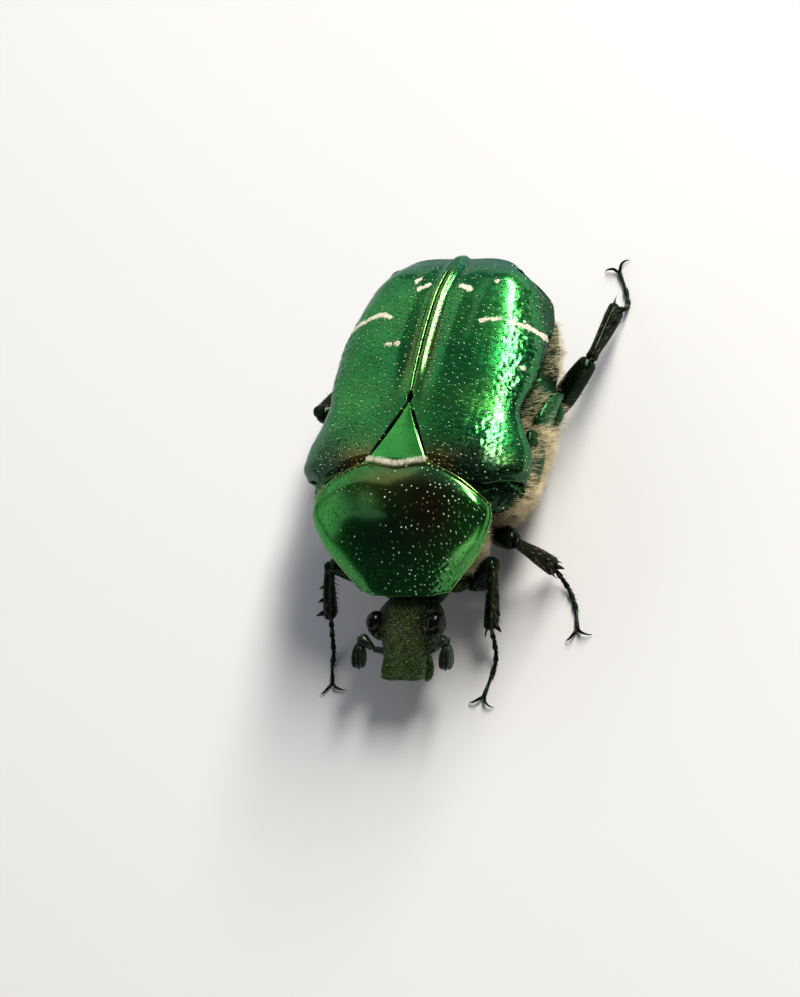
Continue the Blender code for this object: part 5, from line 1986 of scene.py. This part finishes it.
def main() -> None:
    """Builds the finishes, the body, its hair and the studio in order, and reports each piece."""
    logging.basicConfig(level=logging.INFO, format="%(name)s: %(message)s")
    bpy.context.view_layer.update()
    finish = {name: recipe.material() for name, recipe in FINISHES.items()}

    cases, shield, scutellum = WingCases(marks=CASE_MARKS), Shield(), Scutellum()
    for side in Side:
        cases.build(side, finish["case"])
    shield.build(finish["shield"])
    scutellum.build(finish["scutellum"])

    trunk = Trunk(cases, shield)
    thorax, abdomen, neck, tail = trunk.thorax(), trunk.abdomen(), trunk.prothorax(), trunk.tail_plate()
    place_piece(thorax.build("thorax_rings"), finish["body"], "underside", "thorax")
    place_piece(abdomen.build("abdomen_rings"), finish["body"], "underside", "abdomen")
    place_piece(neck.build("prothorax_rings"), finish["body"], "underside", "prothorax")
    place_piece(tail.build("tail_plate"), finish["plate"], "pygidium", "pygidium")

    plates, feelers, head = Form(), Form(), Head()
    for side in Side:
        plates.add(ShoulderPlate().build(side, finish["plate"])[1])
    head_form = head.build(finish["head"])
    for side in Side:
        head.build_eye(side, finish["eye"])
        feelers.add(head.build_feeler(side, finish["feeler"])[1])
    leg_forms = [leg.build(finish["limb"]) for leg in LEGS]

    tree = SetaTree()
    tuft = Tuft(width=0.019, splay=0.25, room=0.2).build("tuft")
    single = Tuft(strands=1, width=0.05, curl=0.22).build("single_seta")
    for side in Side:
        thorax.paint("hairs", lambda p: trunk.flank_hairs(p) * (p[:, 0] * side.value > 0))
        coat = Coat("coat_thorax_" + side.word, "underside", 110.0, 0.66, 0.55, 0.28, 5)
        coat.grow(tree, thorax, tuft, finish["tawny"])
    # Name, slot, number for each square mm, length, lean, stray and seed; then the skin, the strands and the colour
    coats = [
        (Coat("coat_abdomen", "underside", 45.0, 0.42, 0.66, 0.25, 7), abdomen, tuft, "tawny"),
        (Coat("coat_prothorax", "underside", 70.0, 0.7, 0.6, 0.25, 8), neck, tuft, "tawny"),
        (Coat("coat_plates", "underside", 90.0, 0.6, 0.6, 0.25, 9), plates, tuft, "tawny"),
        (Coat("coat_tail", "pygidium", 12.0, 0.3, 0.7, 0.2, 10), tail, tuft, "cream"),
        (Coat("coat_fringe", "scutellum", 1800.0, 0.22, 0.8, 0.12, 11), scutellum.fringe_skin(shield), single, "cream"),
        (Coat("coat_head", "head", 10.0, 0.3, 0.6, 0.3, 12), head_form, tuft, "tawny"),
        (Coat("coat_feelers", "antennae", 20.0, 0.14, 0.6, 0.2, 13), feelers, single, "dark"),
    ]
    for k, (leg, form) in enumerate(zip(LEGS, leg_forms)):
        coats.append((Coat("coat_" + leg.name, "legs", 11.0, 0.28, 0.6, 0.3, 20 + k), form, single, "brown"))
    for coat, skin, strands, colour in coats:
        coat.grow(tree, skin, strands, finish[colour])

    Studio().build()


if __name__ == "__main__":
    main()
